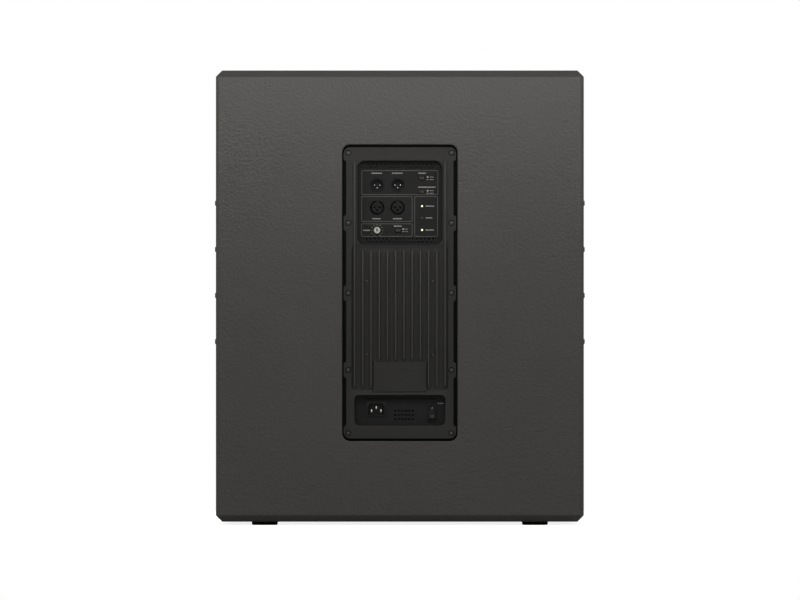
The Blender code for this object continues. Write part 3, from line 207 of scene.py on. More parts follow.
def lofted(rings):
    """A closed skin through outlines that all have as many corners. A ring is (outline, height)."""
    bm = bmesh.new()
    loops = []
    for outline, height in rings:
        outline.faces.ensure_lookup_table()
        points = [loop.vert.co for loop in outline.faces[0].loops]
        verts = [bm.verts.new((point.x, point.y, height)) for point in points]
        loops.append([bm.edges.new(pair) for pair in zip(verts, verts[1:] + verts[:1])])
        outline.free()
    for below, above in zip(loops, loops[1:]):
        bmesh.ops.bridge_loops(bm, edges=below + above)
    for loop in (loops[0], loops[-1]):
        bmesh.ops.edgeloop_fill(bm, edges=loop)
    return outward(bm)


def turned(profile, steps=32, closed=False):
    """A profile of (radius, height) turned about the upright axis."""
    bm = bmesh.new()
    verts = [bm.verts.new((radius, 0, height)) for radius, height in profile]
    follow = verts[1:] + verts[:1] if closed else verts[1:]
    edges = [bm.edges.new(pair) for pair in zip(verts, follow)]
    bmesh.ops.spin(
        bm,
        geom=verts + edges,
        cent=(0, 0, 0),
        axis=(0, 0, 1),
        angle=FULL_TURN,
        steps=steps,
        use_merge=True,
    )
    return outward(bm)


def perforated(outline, holes, thickness):
    """A sheet with holes through it. The outline and the holes are flat shapes."""
    bm = joined(outline, *holes)
    bmesh.ops.delete(bm, geom=bm.faces[:], context="FACES_ONLY")
    bmesh.ops.triangle_fill(bm, use_beauty=True, edges=bm.edges[:], normal=(0, 0, 1))
    return raised(bm, thickness)


def carved(body, tool, operation="DIFFERENCE"):
    """The body after the tool is cut out of it or, with another operation, joined or kept."""
    objects = []
    for shape in (body, tool):
        mesh = bpy.data.meshes.new("carving")
        outward(shape).to_mesh(mesh)
        shape.free()
        objects.append(bpy.data.objects.new("carving", mesh))
        bpy.context.scene.collection.objects.link(objects[-1])
    modifier = objects[0].modifiers.new("carving", "BOOLEAN")
    modifier.operation = operation
    modifier.solver = "EXACT"
    modifier.use_self = operation == "UNION"
    modifier.object = objects[1]
    graph = bpy.context.evaluated_depsgraph_get()
    result = bmesh.new()
    result.from_mesh(objects[0].evaluated_get(graph).to_mesh())
    objects[0].evaluated_get(graph).to_mesh_clear()
    for done in objects:
        mesh = done.data
        bpy.data.objects.remove(done)
        bpy.data.meshes.remove(mesh)
    bmesh.ops.remove_doubles(result, verts=result.verts[:], dist=SLIVER)
    bmesh.ops.dissolve_degenerate(result, edges=result.edges[:], dist=SLIVER)
    return result


def piece(name, bm, material, nodes=(), body="cabinet"):
    """Makes the shape a piece that rides on a body and stands for its nodes. Wide faces stay flat."""
    rounded = [face.calc_area() < FLAT_WIDTH * face.calc_perimeter() for face in bm.faces]
    mesh = bpy.data.meshes.new(name)
    bm.to_mesh(mesh)
    bm.free()
    mesh.set_sharp_from_angle(angle=SHARP)
    mesh.polygons.foreach_set("use_smooth", rounded)
    mesh.materials.append(material)
    made = bpy.data.objects.new(name, mesh)
    bpy.context.scene.collection.objects.link(made)
    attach(made, body)
    if nodes:
        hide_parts(*nodes)
    return made


# Finishes


def node_group(name, inputs, outputs):
    """An empty shader group. Inputs are (name, default), and outputs are (name, socket type)."""
    tree = bpy.data.node_groups.new(name, "ShaderNodeTree")
    for label, default in inputs:
        socket = tree.interface.new_socket(label, in_out="INPUT", socket_type="NodeSocketFloat")
        socket.default_value = default
    for label, kind in outputs:
        tree.interface.new_socket(label, in_out="OUTPUT", socket_type=kind)
    return tree, tree.nodes.new("NodeGroupInput"), tree.nodes.new("NodeGroupOutput")


def math_node(tree, operation, first, second=None, clamp=False):
    """A Math node on sockets or numbers. Returns its output."""
    node = tree.nodes.new("ShaderNodeMath")
    node.operation = operation
    node.use_clamp = clamp
    for socket, value in zip(node.inputs, (first, second)):
        if value is None:
            continue
        if isinstance(value, (int, float)):
            socket.default_value = value
        else:
            tree.links.new(value, socket)
    return node.outputs[0]


def times(tree, first, second):
    return math_node(tree, "MULTIPLY", first, second)


def plus(tree, first, second, clamp=False):
    return math_node(tree, "ADD", first, second, clamp)


def noise(tree, place, scale, detail=2.0, roughness=0.5):
    node = tree.nodes.new("ShaderNodeTexNoise")
    node.inputs["Detail"].default_value = detail
    node.inputs["Roughness"].default_value = roughness
    tree.links.new(place, node.inputs["Vector"])
    if isinstance(scale, (int, float)):
        node.inputs["Scale"].default_value = scale
    else:
        tree.links.new(scale, node.inputs["Scale"])
    return node.outputs[0]


def object_place(tree, location=(0, 0, 0), scale=(1, 1, 1), turn=(0, 0, 0)):
    """The place on the object, in metres, moved and stretched as given."""
    source = tree.nodes.new("ShaderNodeTexCoord").outputs["Object"]
    mapping = tree.nodes.new("ShaderNodeMapping")
    mapping.inputs["Location"].default_value = location
    mapping.inputs["Scale"].default_value = scale
    mapping.inputs["Rotation"].default_value = turn
    tree.links.new(source, mapping.inputs["Vector"])
    return mapping.outputs[0]


def axes(tree, place):
    """The X, Y and Z of a place, as sockets."""
    split = tree.nodes.new("ShaderNodeSeparateXYZ")
    tree.links.new(place, split.inputs[0])
    return split.outputs


PEBBLE_BEND = 160
PEBBLE_BEND_REACH = 4 * MM


def make_pebble_group():
    """The wrinkled relief of a thick sprayed coating: soft cells broken up by ripples."""
    tree, given, result = node_group(
        "pebbled_relief", [("Scale", 250.0), ("Ripple", 0.5)], [("Height", "NodeSocketFloat")]
    )
    place = object_place(tree)
    scale = given.outputs["Scale"]
    bent = tree.nodes.new("ShaderNodeVectorMath")
    bent.operation = "MULTIPLY_ADD"
    bend = tree.nodes.new("ShaderNodeTexNoise")
    bend.inputs["Scale"].default_value = PEBBLE_BEND
    tree.links.new(place, bend.inputs["Vector"])
    tree.links.new(bend.outputs["Color"], bent.inputs[0])
    bent.inputs[1].default_value = (PEBBLE_BEND_REACH, PEBBLE_BEND_REACH, PEBBLE_BEND_REACH)
    tree.links.new(place, bent.inputs[2])
    cells = tree.nodes.new("ShaderNodeTexVoronoi")
    cells.feature = "SMOOTH_F1"
    cells.inputs["Smoothness"].default_value = 0.6
    tree.links.new(bent.outputs[0], cells.inputs["Vector"])
    tree.links.new(scale, cells.inputs["Scale"])
    ripple = noise(tree, bent.outputs[0], times(tree, scale, 1.7), 3)
    swell = noise(tree, place, times(tree, scale, 0.3), 1)
    height = math_node(tree, "SUBTRACT", 1.0, cells.outputs["Distance"])
    height = plus(tree, height, times(tree, ripple, given.outputs["Ripple"]))
    height = plus(tree, height, times(tree, swell, 0.5))
    tree.links.new(height, result.inputs["Height"])
    return tree


def make_sand_group():
    """The fine even grain of powder coating or moulded plastic."""
    tree, given, result = node_group(
        "sanded_relief", [("Scale", 1400.0)], [("Height", "NodeSocketFloat")]
    )
    place = object_place(tree)
    fine = noise(tree, place, given.outputs["Scale"], 2, 0.7)
    coarse = noise(tree, place, times(tree, given.outputs["Scale"], 0.37), 1)
    height = plus(tree, times(tree, fine, 0.7), times(tree, coarse, 0.3))
    tree.links.new(height, result.inputs["Height"])
    return tree


def make_handled_group():
    """Where hands and air have left a surface a little duller or lighter, from 0 to 1."""
    tree, given, result = node_group(
        "handled_surface", [("Scale", 9.0), ("Contrast", 1.6)], [("Mask", "NodeSocketFloat")]
    )
    place = object_place(tree)
    broad = noise(tree, place, given.outputs["Scale"], 5, 0.62)
    specks = noise(tree, place, times(tree, given.outputs["Scale"], 38), 2, 0.6)
    mixed = plus(tree, times(tree, broad, 0.75), times(tree, specks, 0.25))
    spread = times(tree, math_node(tree, "SUBTRACT", mixed, 0.5), given.outputs["Contrast"])
    tree.links.new(plus(tree, spread, 0.5, clamp=True), result.inputs["Mask"])
    return tree


def make_weave_group():
    """Threads crossing over and under, for cloth and woven fibre."""
    outputs = [("Height", "NodeSocketFloat"), ("Shade", "NodeSocketFloat")]
    tree, given, result = node_group("woven_relief", [("Scale", 500.0)], outputs)
    split = axes(tree, object_place(tree))
    along = math_node(tree, "SINE", times(tree, split["X"], given.outputs["Scale"]))
    across = math_node(tree, "SINE", times(tree, split["Z"], given.outputs["Scale"]))
    height = times(tree, along, across)
    tree.links.new(height, result.inputs["Height"])
    tree.links.new(math_node(tree, "ABSOLUTE", height), result.inputs["Shade"])
    return tree


PEBBLES = make_pebble_group()
SAND = make_sand_group()
HANDLED = make_handled_group()
WEAVE = make_weave_group()


def placed(tree, group, **values):
    """A shader group in a material, with its own values."""
    node = tree.nodes.new("ShaderNodeGroup")
    node.node_tree = group
    for label, value in values.items():
        node.inputs[label].default_value = value
    return node


def between(tree, mask, darker, lighter):
    """A colour between two others, by a mask."""
    mix = tree.nodes.new("ShaderNodeMix")
    mix.data_type = "RGBA"
    tree.links.new(mask, mix.inputs["Factor"])
    mix.inputs["A"].default_value = (*darker, 1)
    mix.inputs["B"].default_value = (*lighter, 1)
    return mix.outputs["Result"]


def ranged(tree, mask, least, most):
    """A number between two others, by a mask."""
    node = tree.nodes.new("ShaderNodeMapRange")
    tree.links.new(mask, node.inputs["Value"])
    node.inputs["To Min"].default_value = least
    node.inputs["To Max"].default_value = most
    return node.outputs["Result"]


def shader(name):
    """A new material. Returns it, its tree and its Principled shader."""
    material = bpy.data.materials.new(name)
    material.use_nodes = True
    return material, material.node_tree, material.node_tree.nodes["Principled BSDF"]


def relief(tree, height, principled, depth):
    """Gives a shader a surface relief of a given depth."""
    bump = tree.nodes.new("ShaderNodeBump")
    bump.inputs["Distance"].default_value = depth
    tree.links.new(height, bump.inputs["Height"])
    tree.links.new(bump.outputs["Normal"], principled.inputs["Normal"])


def coated(name, colour, roughness, grain, depth, group=SAND, metallic=0.0, specular=0.5, change=0.18):
    """A painted, moulded or sprayed finish: a relief, and a little change of colour and gloss."""
    material, tree, principled = shader(name)
    mask = placed(tree, HANDLED).outputs["Mask"]
    darker = [part * (1 - change) for part in colour]
    lighter = [part * (1 + change) for part in colour]
    tree.links.new(between(tree, mask, darker, lighter), principled.inputs["Base Color"])
    gloss = ranged(tree, mask, roughness - 0.06, roughness + 0.06)
    tree.links.new(gloss, principled.inputs["Roughness"])
    principled.inputs["Metallic"].default_value = metallic
    principled.inputs["Specular IOR Level"].default_value = specular
    relief(tree, placed(tree, group, Scale=grain).outputs["Height"], principled, depth)
    return material


def brushed(name, colour, roughness, stretch, depth=0.02 * MM):
    """Bare metal with fine lines one way."""
    material, tree, principled = shader(name)
    lines = noise(tree, object_place(tree, scale=stretch), 300, 3)
    mask = placed(tree, HANDLED, Scale=14.0).outputs["Mask"]
    darker = [part * 0.8 for part in colour]
    tree.links.new(between(tree, mask, darker, colour), principled.inputs["Base Color"])
    gloss = ranged(tree, lines, roughness - 0.1, roughness + 0.12)
    tree.links.new(gloss, principled.inputs["Roughness"])
    principled.inputs["Metallic"].default_value = 1.0
    relief(tree, lines, principled, depth)
    return material


def grained_wood():
    """Birch plywood: long grain on the face, and thin plies where the edge shows."""
    material, tree, principled = shader("birch_plywood")
    grain = noise(tree, object_place(tree, scale=(30, 700, 2.5)), 6, 5, 0.6)
    colour = between(tree, grain, (0.30, 0.18, 0.09), (0.56, 0.41, 0.24))
    tree.links.new(colour, principled.inputs["Base Color"])
    tree.links.new(ranged(tree, grain, 0.6, 0.8), principled.inputs["Roughness"])
    relief(tree, grain, principled, 0.15 * MM)
    return material


def woven(name, darker, lighter, scale):
    """Cloth whose threads cross over and under."""
    material, tree, principled = shader(name)
    weave = placed(tree, WEAVE, Scale=scale)
    shade = weave.outputs["Shade"]
    tree.links.new(between(tree, shade, darker, lighter), principled.inputs["Base Color"])
    tree.links.new(ranged(tree, shade, 0.9, 0.75), principled.inputs["Roughness"])
    relief(tree, weave.outputs["Height"], principled, 0.1 * MM)
    return material


def wound_wire():
    """Enamelled copper wire, one turn beside the next, dark between the turns and bright on their
    crowns: painted shade and a painted highlight.
    """
    material, tree, principled = shader("copper_winding")
    along = axes(tree, object_place(tree))["Y"]
    turns = math_node(tree, "ABSOLUTE", math_node(tree, "SINE", times(tree, along, 5200)))
    # Painted shade between the turns and a painted highlight on their crowns.
    colour = between(tree, turns, (0.12, 0.04, 0.02), (0.62, 0.27, 0.12))
    tree.links.new(colour, principled.inputs["Base Color"])
    tree.links.new(ranged(tree, turns, 0.5, 0.3), principled.inputs["Roughness"])
    principled.inputs["Metallic"].default_value = 1.0
    relief(tree, turns, principled, 0.2 * MM)
    return material


def circuit_lacquer():
    """Green solder mask over copper tracks, darkened almost to black as painted shade, so that the vent
    holes in front of the board look dark.
    """
    material, tree, principled = shader("circuit_board_painted_shade")
    tracks = tree.nodes.new("ShaderNodeTexBrick")
    tracks.inputs["Color1"].default_value = (0.002, 0.007, 0.004, 1)
    tracks.inputs["Color2"].default_value = (0.003, 0.010, 0.005, 1)
    tracks.inputs["Mortar"].default_value = (0.008, 0.025, 0.012, 1)
    tracks.inputs["Scale"].default_value = 60
    tracks.inputs["Mortar Size"].default_value = 0.03
    tree.links.new(object_place(tree, turn=(math.pi / 2, 0, 0)), tracks.inputs["Vector"])
    tree.links.new(tracks.outputs["Color"], principled.inputs["Base Color"])
    mask = placed(tree, HANDLED, Scale=40.0).outputs["Mask"]
    tree.links.new(ranged(tree, mask, 0.3, 0.5), principled.inputs["Roughness"])
    relief(tree, tracks.outputs["Fac"], principled, 0.05 * MM)
    return material


def glowing(name, centre, core, rim, reach):
    """A lit lens: brightest on its axis, and coloured towards its rim."""
    material, tree, principled = shader(name)
    split = axes(tree, object_place(tree, location=-centre))
    across = math_node(tree, "POWER", split["X"], 2)
    up = math_node(tree, "POWER", split["Z"], 2)
    away = math_node(tree, "SQRT", plus(tree, across, up))
    share = math_node(tree, "DIVIDE", away, reach, clamp=True)
    colour = between(tree, share, core, rim)
    tree.links.new(colour, principled.inputs["Base Color"])
    tree.links.new(colour, principled.inputs["Emission Color"])
    principled.inputs["Emission Strength"].default_value = LED_GLOW
    principled.inputs["Roughness"].default_value = 0.2
    return material


LED_GLOW = 2.2

CABINET_PAINT = coated(
    "textured_cabinet_paint", (0.036, 0.035, 0.033), 0.47, 250, 0.40 * MM, PEBBLES, specular=0.5
)
# The fins are part of the casting: this lighter, glossier copy of its finish is a painted highlight on
# them.
FIN_HIGHLIGHT_PAINT = coated("fin_powder_coat_painted_highlight", (0.028, 0.028, 0.027), 0.42, 1300, 0.03 * MM, specular=0.5)
GRILLE_PAINT = coated("grille_powder_coat", (0.034, 0.034, 0.033), 0.45, 1500, 0.04 * MM, specular=0.5)
# Darker than the other rubber: the seal's own black, deepened as painted shade in the gaps at the
# plate's notches.
SEAL_RUBBER_AND_SHADE = coated("black_seal_and_painted_shade", (0.004, 0.004, 0.004), 0.8, 900, 0.06 * MM, specular=0.1)
CASTING_PAINT = coated("casting_powder_coat", (0.024, 0.024, 0.023), 0.6, 1300, 0.05 * MM, specular=0.2)
SHEET_PAINT = coated("sheet_powder_coat", (0.015, 0.015, 0.015), 0.6, 1500, 0.04 * MM, specular=0.12)
BLACK_PLASTIC = coated(
    "black_moulded_plastic", (0.007, 0.007, 0.007), 0.45, 1800, 0.02 * MM, specular=0.25
)
SHEET_PLASTIC = coated(
    "satin_black_plastic", (0.010, 0.010, 0.010), 0.55, 1600, 0.03 * MM, specular=0.15
)
RIB_PLASTIC = coated("rib_grey_plastic", (0.06, 0.06, 0.058), 0.45, 1800, 0.02 * MM)
KNOB_PLASTIC = coated("light_grey_plastic", (0.47, 0.47, 0.455), 0.4, 1600, 0.02 * MM, change=0.06)
KNOB_DIMPLE = coated("mid_grey_plastic", (0.16, 0.16, 0.155), 0.5, 1600, 0.02 * MM, change=0.06)
RUBBER = coated("black_rubber", (0.012, 0.012, 0.012), 0.75, 900, 0.06 * MM)
FOAM = coated("open_cell_foam", (0.014, 0.014, 0.014), 0.95, 620, 0.9 * MM, PEBBLES, specular=0.1)
PAPER = coated("pressed_paper_cone", (0.035, 0.035, 0.037), 0.85, 700, 0.12 * MM, PEBBLES, specular=0.2)
FERRITE = coated("ferrite_ceramic", (0.045, 0.045, 0.05), 0.6, 420, 0.1 * MM)
FRAME_INK = coated("grey_printing", (0.10, 0.10, 0.098), 0.6, 2500, 0.01 * MM, change=0.1)
LABEL_INK = coated("white_printing", (0.30, 0.30, 0.29), 0.6, 2500, 0.01 * MM, change=0.08)
SCREW_BLACK = coated("blackened_steel", (0.06, 0.06, 0.059), 0.36, 1500, 0.02 * MM, metallic=0.6)
STEEL = brushed("zinc_plated_steel", (0.52, 0.52, 0.50), 0.38, (1, 14, 1))
CONTACT = brushed("plated_contact", (0.85, 0.84, 0.80), 0.22, (1, 9, 1))
ALUMINIUM = brushed("bare_aluminium", (0.66, 0.67, 0.68), 0.42, (1, 1, 16))
PLYWOOD = grained_wood()
SPIDER_CLOTH = woven("impregnated_cloth", (0.26, 0.15, 0.05), (0.55, 0.36, 0.14), 2600)
COPPER = wound_wire()
# A near-black board: painted shade behind the vent holes.
CIRCUIT_IN_PAINTED_SHADE = circuit_lacquer()
DARK_LENS = coated("unlit_lens", (0.09, 0.075, 0.07), 0.2, 900, 0.01 * MM, change=0.1)

BY_SLOT = {
    "textured_paint": CABINET_PAINT,
    "plywood": PLYWOOD,
    "powder_coat": SHEET_PAINT,
    "black_plastic": BLACK_PLASTIC,
    "grey_plastic": KNOB_PLASTIC,
    "rubber": RUBBER,
    "foam": FOAM,
    "paper": PAPER,
    "cloth": SPIDER_CLOTH,
    "steel": STEEL,
    "ferrite": FERRITE,
    "aluminium": ALUMINIUM,
    "black_aluminium": CASTING_PAINT,
    "copper": COPPER,
    "circuit_board": CIRCUIT_IN_PAINTED_SHADE,
    "lit_lens": DARK_LENS,
    "dark_lens": DARK_LENS,
}


# Cabinet

BOARD = 18 * MM
EDGE_CHAMFER = 9 * MM
REAR_SIDE_CHAMFER = 4.5 * MM
PAINT_ROUND = 1.1 * MM
PANELS = ("top_panel", "bottom_panel", "left_side_panel", "right_side_panel", "rear_panel")
SHELL_LOW, SHELL_HIGH = around(*PANELS)
SHELL_MIDDLE = (SHELL_LOW + SHELL_HIGH) / 2
SHELL_SIZE = SHELL_HIGH - SHELL_LOW
POCKET = (164.6 * MM, 423 * MM, 11 * MM)
POCKET_DEPTH = 8.8 * MM
POCKET_LIP = 1.2 * MM
CUTOUT = (140.6 * MM, 399 * MM, 6 * MM)
HANDLE_FLANGE = (165 * MM, 230 * MM, 14 * MM)
HANDLE_DISH = (125 * MM, 190 * MM, 14 * MM)
HANDLE_SHEET = 2.5 * MM
HANDLE_DEPTH = 58 * MM
HANDLE_SCREW_PITCH = 66.2 * MM
HANDLE_SCREW_ROWS = 4
GRIP_RIBS = 15
GRIP_PLAIN_END = 6 * MM
POLE_REBATE = 3.3 * MM
POLE_HOLE = 21.8 * MM
FIT = 0.8 * MM
OVERRUN = 5 * MM
SCREW_PROUD = SHELL_LOW.x - low("left_handle_dish").x


def grown(sizes, by, steps=5):
    """A rounded rectangle, larger by so much all round."""
    width, length, corner = sizes
    return flat(width + 2 * by, length + 2 * by, max(corner + by, 0.2 * MM), steps)


def flared(sizes, radius):
    """The outlines of a hole whose mouth rounds out to the surface at height 0."""
    return [
        (grown(sizes, radius * (1 - math.cos(turn))), radius * (math.sin(turn) - 1))
        for turn in QUARTER_TURN
    ]


def sliced(bm, at, normal):
    """Cuts off what lies beyond a plane, and closes the cut."""
    cut = bmesh.ops.bisect_plane(
        bm, geom=everything(bm), plane_co=at, plane_no=normal, clear_outer=True
    )
    open_edges = [part for part in cut["geom_cut"] if isinstance(part, bmesh.types.BMEdge)]
    bmesh.ops.edgeloop_fill(bm, edges=open_edges)


def block(lowest, highest):
    bm = bmesh.new()
    bmesh.ops.create_cube(bm, size=1)
    bmesh.ops.scale(bm, vec=highest - lowest, verts=bm.verts[:])
    return moved(bm, (lowest + highest) / 2)


def make_cabinet_shell():
    """One coat of paint over five panels, with the pocket, handle holes and pole hole cut out."""
    bm = block(SHELL_LOW, SHELL_HIGH)
    half = SHELL_SIZE / 2
    for side in (-1, 1):
        for end in (-1, 1):
            at = SHELL_MIDDLE + Vector((side * (half.x - EDGE_CHAMFER), 0, end * half.z))
            sliced(bm, at, (side, 0, end))
        at = SHELL_MIDDLE + Vector((0, -half.y, side * (half.z - EDGE_CHAMFER)))
        sliced(bm, at, (0, -1, side))
        at = SHELL_MIDDLE + Vector((side * (half.x - REAR_SIDE_CHAMFER), -half.y, 0))
        sliced(bm, at, (side, -1, 0))
    softened(outward(bm), PAINT_ROUND, 2)
    inner_low = SHELL_LOW + Vector((BOARD, BOARD, BOARD))
    inner_high = SHELL_HIGH + Vector((-BOARD, OVERRUN, -BOARD))
    bm = carved(bm, block(inner_low, inner_high))
    rear = low("rear_panel").y
    pocket_z = middle("amp_plate").z
    rings = [(grown(POCKET, 0), -POCKET_DEPTH), *flared(POCKET, POCKET_LIP)]
    pocket = lofted([*rings, (grown(POCKET, POCKET_LIP), OVERRUN)])
    bm = carved(bm, moved(pocket, (0, rear, pocket_z), REAR))
    cutout = slab(grown(CUTOUT, 0), -BOARD - OVERRUN, 0)
    bm = carved(bm, moved(cutout, (0, rear, pocket_z), REAR))
    for hand, facing in (("left", LEFT), ("right", RIGHT)):
        dish = middle(f"{hand}_handle_grip")
        side_x = SHELL_HIGH.x if hand == "right" else SHELL_LOW.x
        rebate = slab(grown(HANDLE_FLANGE, FIT), -HANDLE_SHEET - 0.3 * MM, OVERRUN)
        hole = slab(grown(HANDLE_DISH, HANDLE_SHEET + FIT), -BOARD - OVERRUN, 0)
        for tool in (rebate, hole):
            bm = carved(bm, moved(tool, (side_x, dish.y, dish.z), facing))
    socket = middle("pole_socket")
    radius = size("pole_socket").x / 2
    rebate = slab(disc(radius + FIT, 48), -POLE_REBATE, OVERRUN)
    hole = slab(disc(POLE_HOLE, 48), -BOARD - OVERRUN, 0)
    for tool in (rebate, hole):
        bm = carved(bm, moved(tool, (socket.x, socket.y, SHELL_HIGH.z)))
    piece("cabinet_shell", bm, CABINET_PAINT, PANELS)


def make_feet():
    for end in ("front", "rear"):
        for hand in ("left", "right"):
            node = f"{end}_{hand}_foot"
            radius = size(node).x / 2
            height = high(node).z
            profile = [
                (0, 3 * MM),
                (5 * MM, 3 * MM),
                (5 * MM, 2.2 * MM),
                (7 * MM, 2.2 * MM),
                (7 * MM, 0.5 * MM),
                (7.5 * MM, 0),
                (radius - 2 * MM, 0),
                (radius - 0.8 * MM, 0.4 * MM),
                (radius - 0.2 * MM, 1.4 * MM),
                (radius, 3 * MM),
                (radius, height),
                (0, height),
            ]
            at = middle(node)
            piece(node + "_moulding", moved(turned(profile, 40), (at.x, at.y, 0)), RUBBER, (node,))
            screw = screw_head(4.6 * MM, 1.4 * MM, 2)
            moved(screw, (at.x, at.y, 2.4 * MM), UNDER)
            piece(node + "_screw", screw, STEEL)


def screw_head(radius, height, drive_depth, sides=0):
    """A low domed head with a cross or, with sides, a socket for a key. Its seat is at 0."""
    profile = [
        (0, height),
        (radius * 0.45, height * 0.97),
        (radius * 0.78, height * 0.8),
        (radius * 0.96, height * 0.45),
        (radius, height * 0.2),
        (radius * 0.97, -0.4 * MM),
        (0, -0.4 * MM),
    ]
    bm = turned(profile, 20)
    bottom = height * (1 - min(drive_depth * 0.3, 0.75))
    if sides:
        drive = slab(disc(radius * 0.55, sides), bottom, height + MM)
    else:
        length, width = radius * 1.15, radius * 0.3
        across = slab(flat(length, width), bottom, height + MM)
        upright = slab(flat(width, length), bottom - LEVEL_ERROR, height + MM + LEVEL_ERROR)
        drive = carved(across, upright, "UNION")
    return carved(bm, drive)


def make_pole_socket():
    node = "pole_socket"
    at, sizes = middle(node), size(node)
    bore, wall, flange = 18 * MM, 3 * MM, 3 * MM
    depth = sizes.z - wall
    radius = sizes.x / 2
    profile = [
        (0, -depth),
        (bore - MM, -depth),
        (bore, -depth + MM),
        (bore, -3 * MM),
        (bore + 0.8 * MM, -1 * MM),
        (bore + 2.4 * MM, 0),
        (radius - 1.2 * MM, 0),
        (radius - 0.3 * MM, -0.4 * MM),
        (radius, -1.2 * MM),
        (radius, -flange),
        (bore + wall, -flange),
        (bore + wall, -depth - wall),
        (0, -depth - wall),
    ]
    place = Vector((at.x, at.y, high(node).z))
    piece("pole_socket_cup", moved(turned(profile, 64), place), BLACK_PLASTIC, (node,))
    for index in range(4):
        turn = math.pi / 4 + index * math.pi / 2
        reach = radius * 0.78
        spot = place + Vector((reach * math.cos(turn), reach * math.sin(turn), -1.1 * MM))
        screw = moved(screw_head(3.6 * MM, 1.1 * MM, 2), spot)
        piece(f"pole_socket_screw_{index + 1}", screw, SCREW_BLACK)


def make_handle(hand, facing):
    """A pressed dish with a rolled mouth, screws round its rim, and a ribbed grip across it."""
    node = f"{hand}_handle_dish"
    grip_node = f"{hand}_handle_grip"
    at = middle(grip_node)
    at.x = SHELL_HIGH.x if hand == "right" else SHELL_LOW.x
    roll, heel, taper, rim_edge = 5 * MM, 12 * MM, 2 * MM, 0.7 * MM
    foot = []
    for turn in reversed(QUARTER_TURN):
        outline = grown(HANDLE_DISH, -taper - heel * (1 - math.sin(turn)))
        foot.append((outline, -HANDLE_DEPTH + heel * (1 - math.cos(turn))))
    skin = [(grown(HANDLE_FLANGE, 0), -HANDLE_SHEET), (grown(HANDLE_FLANGE, 0), -rim_edge)]
    skin += [(grown(HANDLE_FLANGE, -rim_edge), 0), *reversed(flared(HANDLE_DISH, roll)), *foot]
    back = [
        (grown(HANDLE_DISH, HANDLE_SHEET - taper - heel), -HANDLE_DEPTH - HANDLE_SHEET),
        (grown(HANDLE_DISH, HANDLE_SHEET - taper), -HANDLE_DEPTH + heel),
        (grown(HANDLE_DISH, HANDLE_SHEET), -HANDLE_SHEET - roll),
        (grown(HANDLE_DISH, HANDLE_SHEET + LEVEL_ERROR), -HANDLE_SHEET),
    ]
    bm = lofted(back + skin)
    piece(f"{hand}_handle_pressing", moved(bm, at, facing), SHEET_PAINT, (node,))
    column = (HANDLE_DISH[0] + HANDLE_FLANGE[0]) / 4
    for index in range(2 * HANDLE_SCREW_ROWS):
        up = (index // 2 - (HANDLE_SCREW_ROWS - 1) / 2) * HANDLE_SCREW_PITCH
        along = column * (1 if index % 2 else -1)
        screw = moved(screw_head(4.4 * MM, SCREW_PROUD, 2), (along, up, 0))
        piece(f"{hand}_handle_screw_{index + 1}", moved(screw, at, facing), SCREW_BLACK)
    grip, reach = middle(grip_node), size(grip_node).y / 2
    radius = size(grip_node).z / 2
    profile = [(0, -reach), (radius, -reach), (radius, -reach + GRIP_PLAIN_END)]
    length = 2 * (reach - GRIP_PLAIN_END)
    step = length / GRIP_RIBS
    for rib in range(GRIP_RIBS):
        start = -reach + GRIP_PLAIN_END + length * rib / GRIP_RIBS
        profile += [
            (radius - 0.9 * MM, start + step * 0.08),
            (radius - 0.9 * MM, start + step * 0.3),
            (radius - 0.25 * MM, start + step * 0.45),
            (radius, start + step * 0.62),
            (radius - 0.25 * MM, start + step * 0.8),
        ]
    profile += [(radius, reach - GRIP_PLAIN_END), (radius, reach), (0, reach)]
    piece(f"{hand}_handle_ribbed_grip", moved(turned(profile, 32), grip, REAR), RUBBER, (grip_node,))


def hexagon_ring(cell, web):
    """The flat steel round one six sided hole, out to the middle of the web."""
    bm = bmesh.new()
    rings = []
    for across in (cell, cell - web):
        turns = [math.pi / 3 * corner for corner in range(6)]
        reach = across / math.sqrt(3)
        corners = [Vector((math.sin(turn), math.cos(turn), 0)) * reach for turn in turns]
        rings.append([bm.verts.new(corner) for corner in corners])
    for corner in range(6):
        after = (corner + 1) % 6
        bm.faces.new((rings[0][corner], rings[0][after], rings[1][after], rings[1][corner]))
    return bm


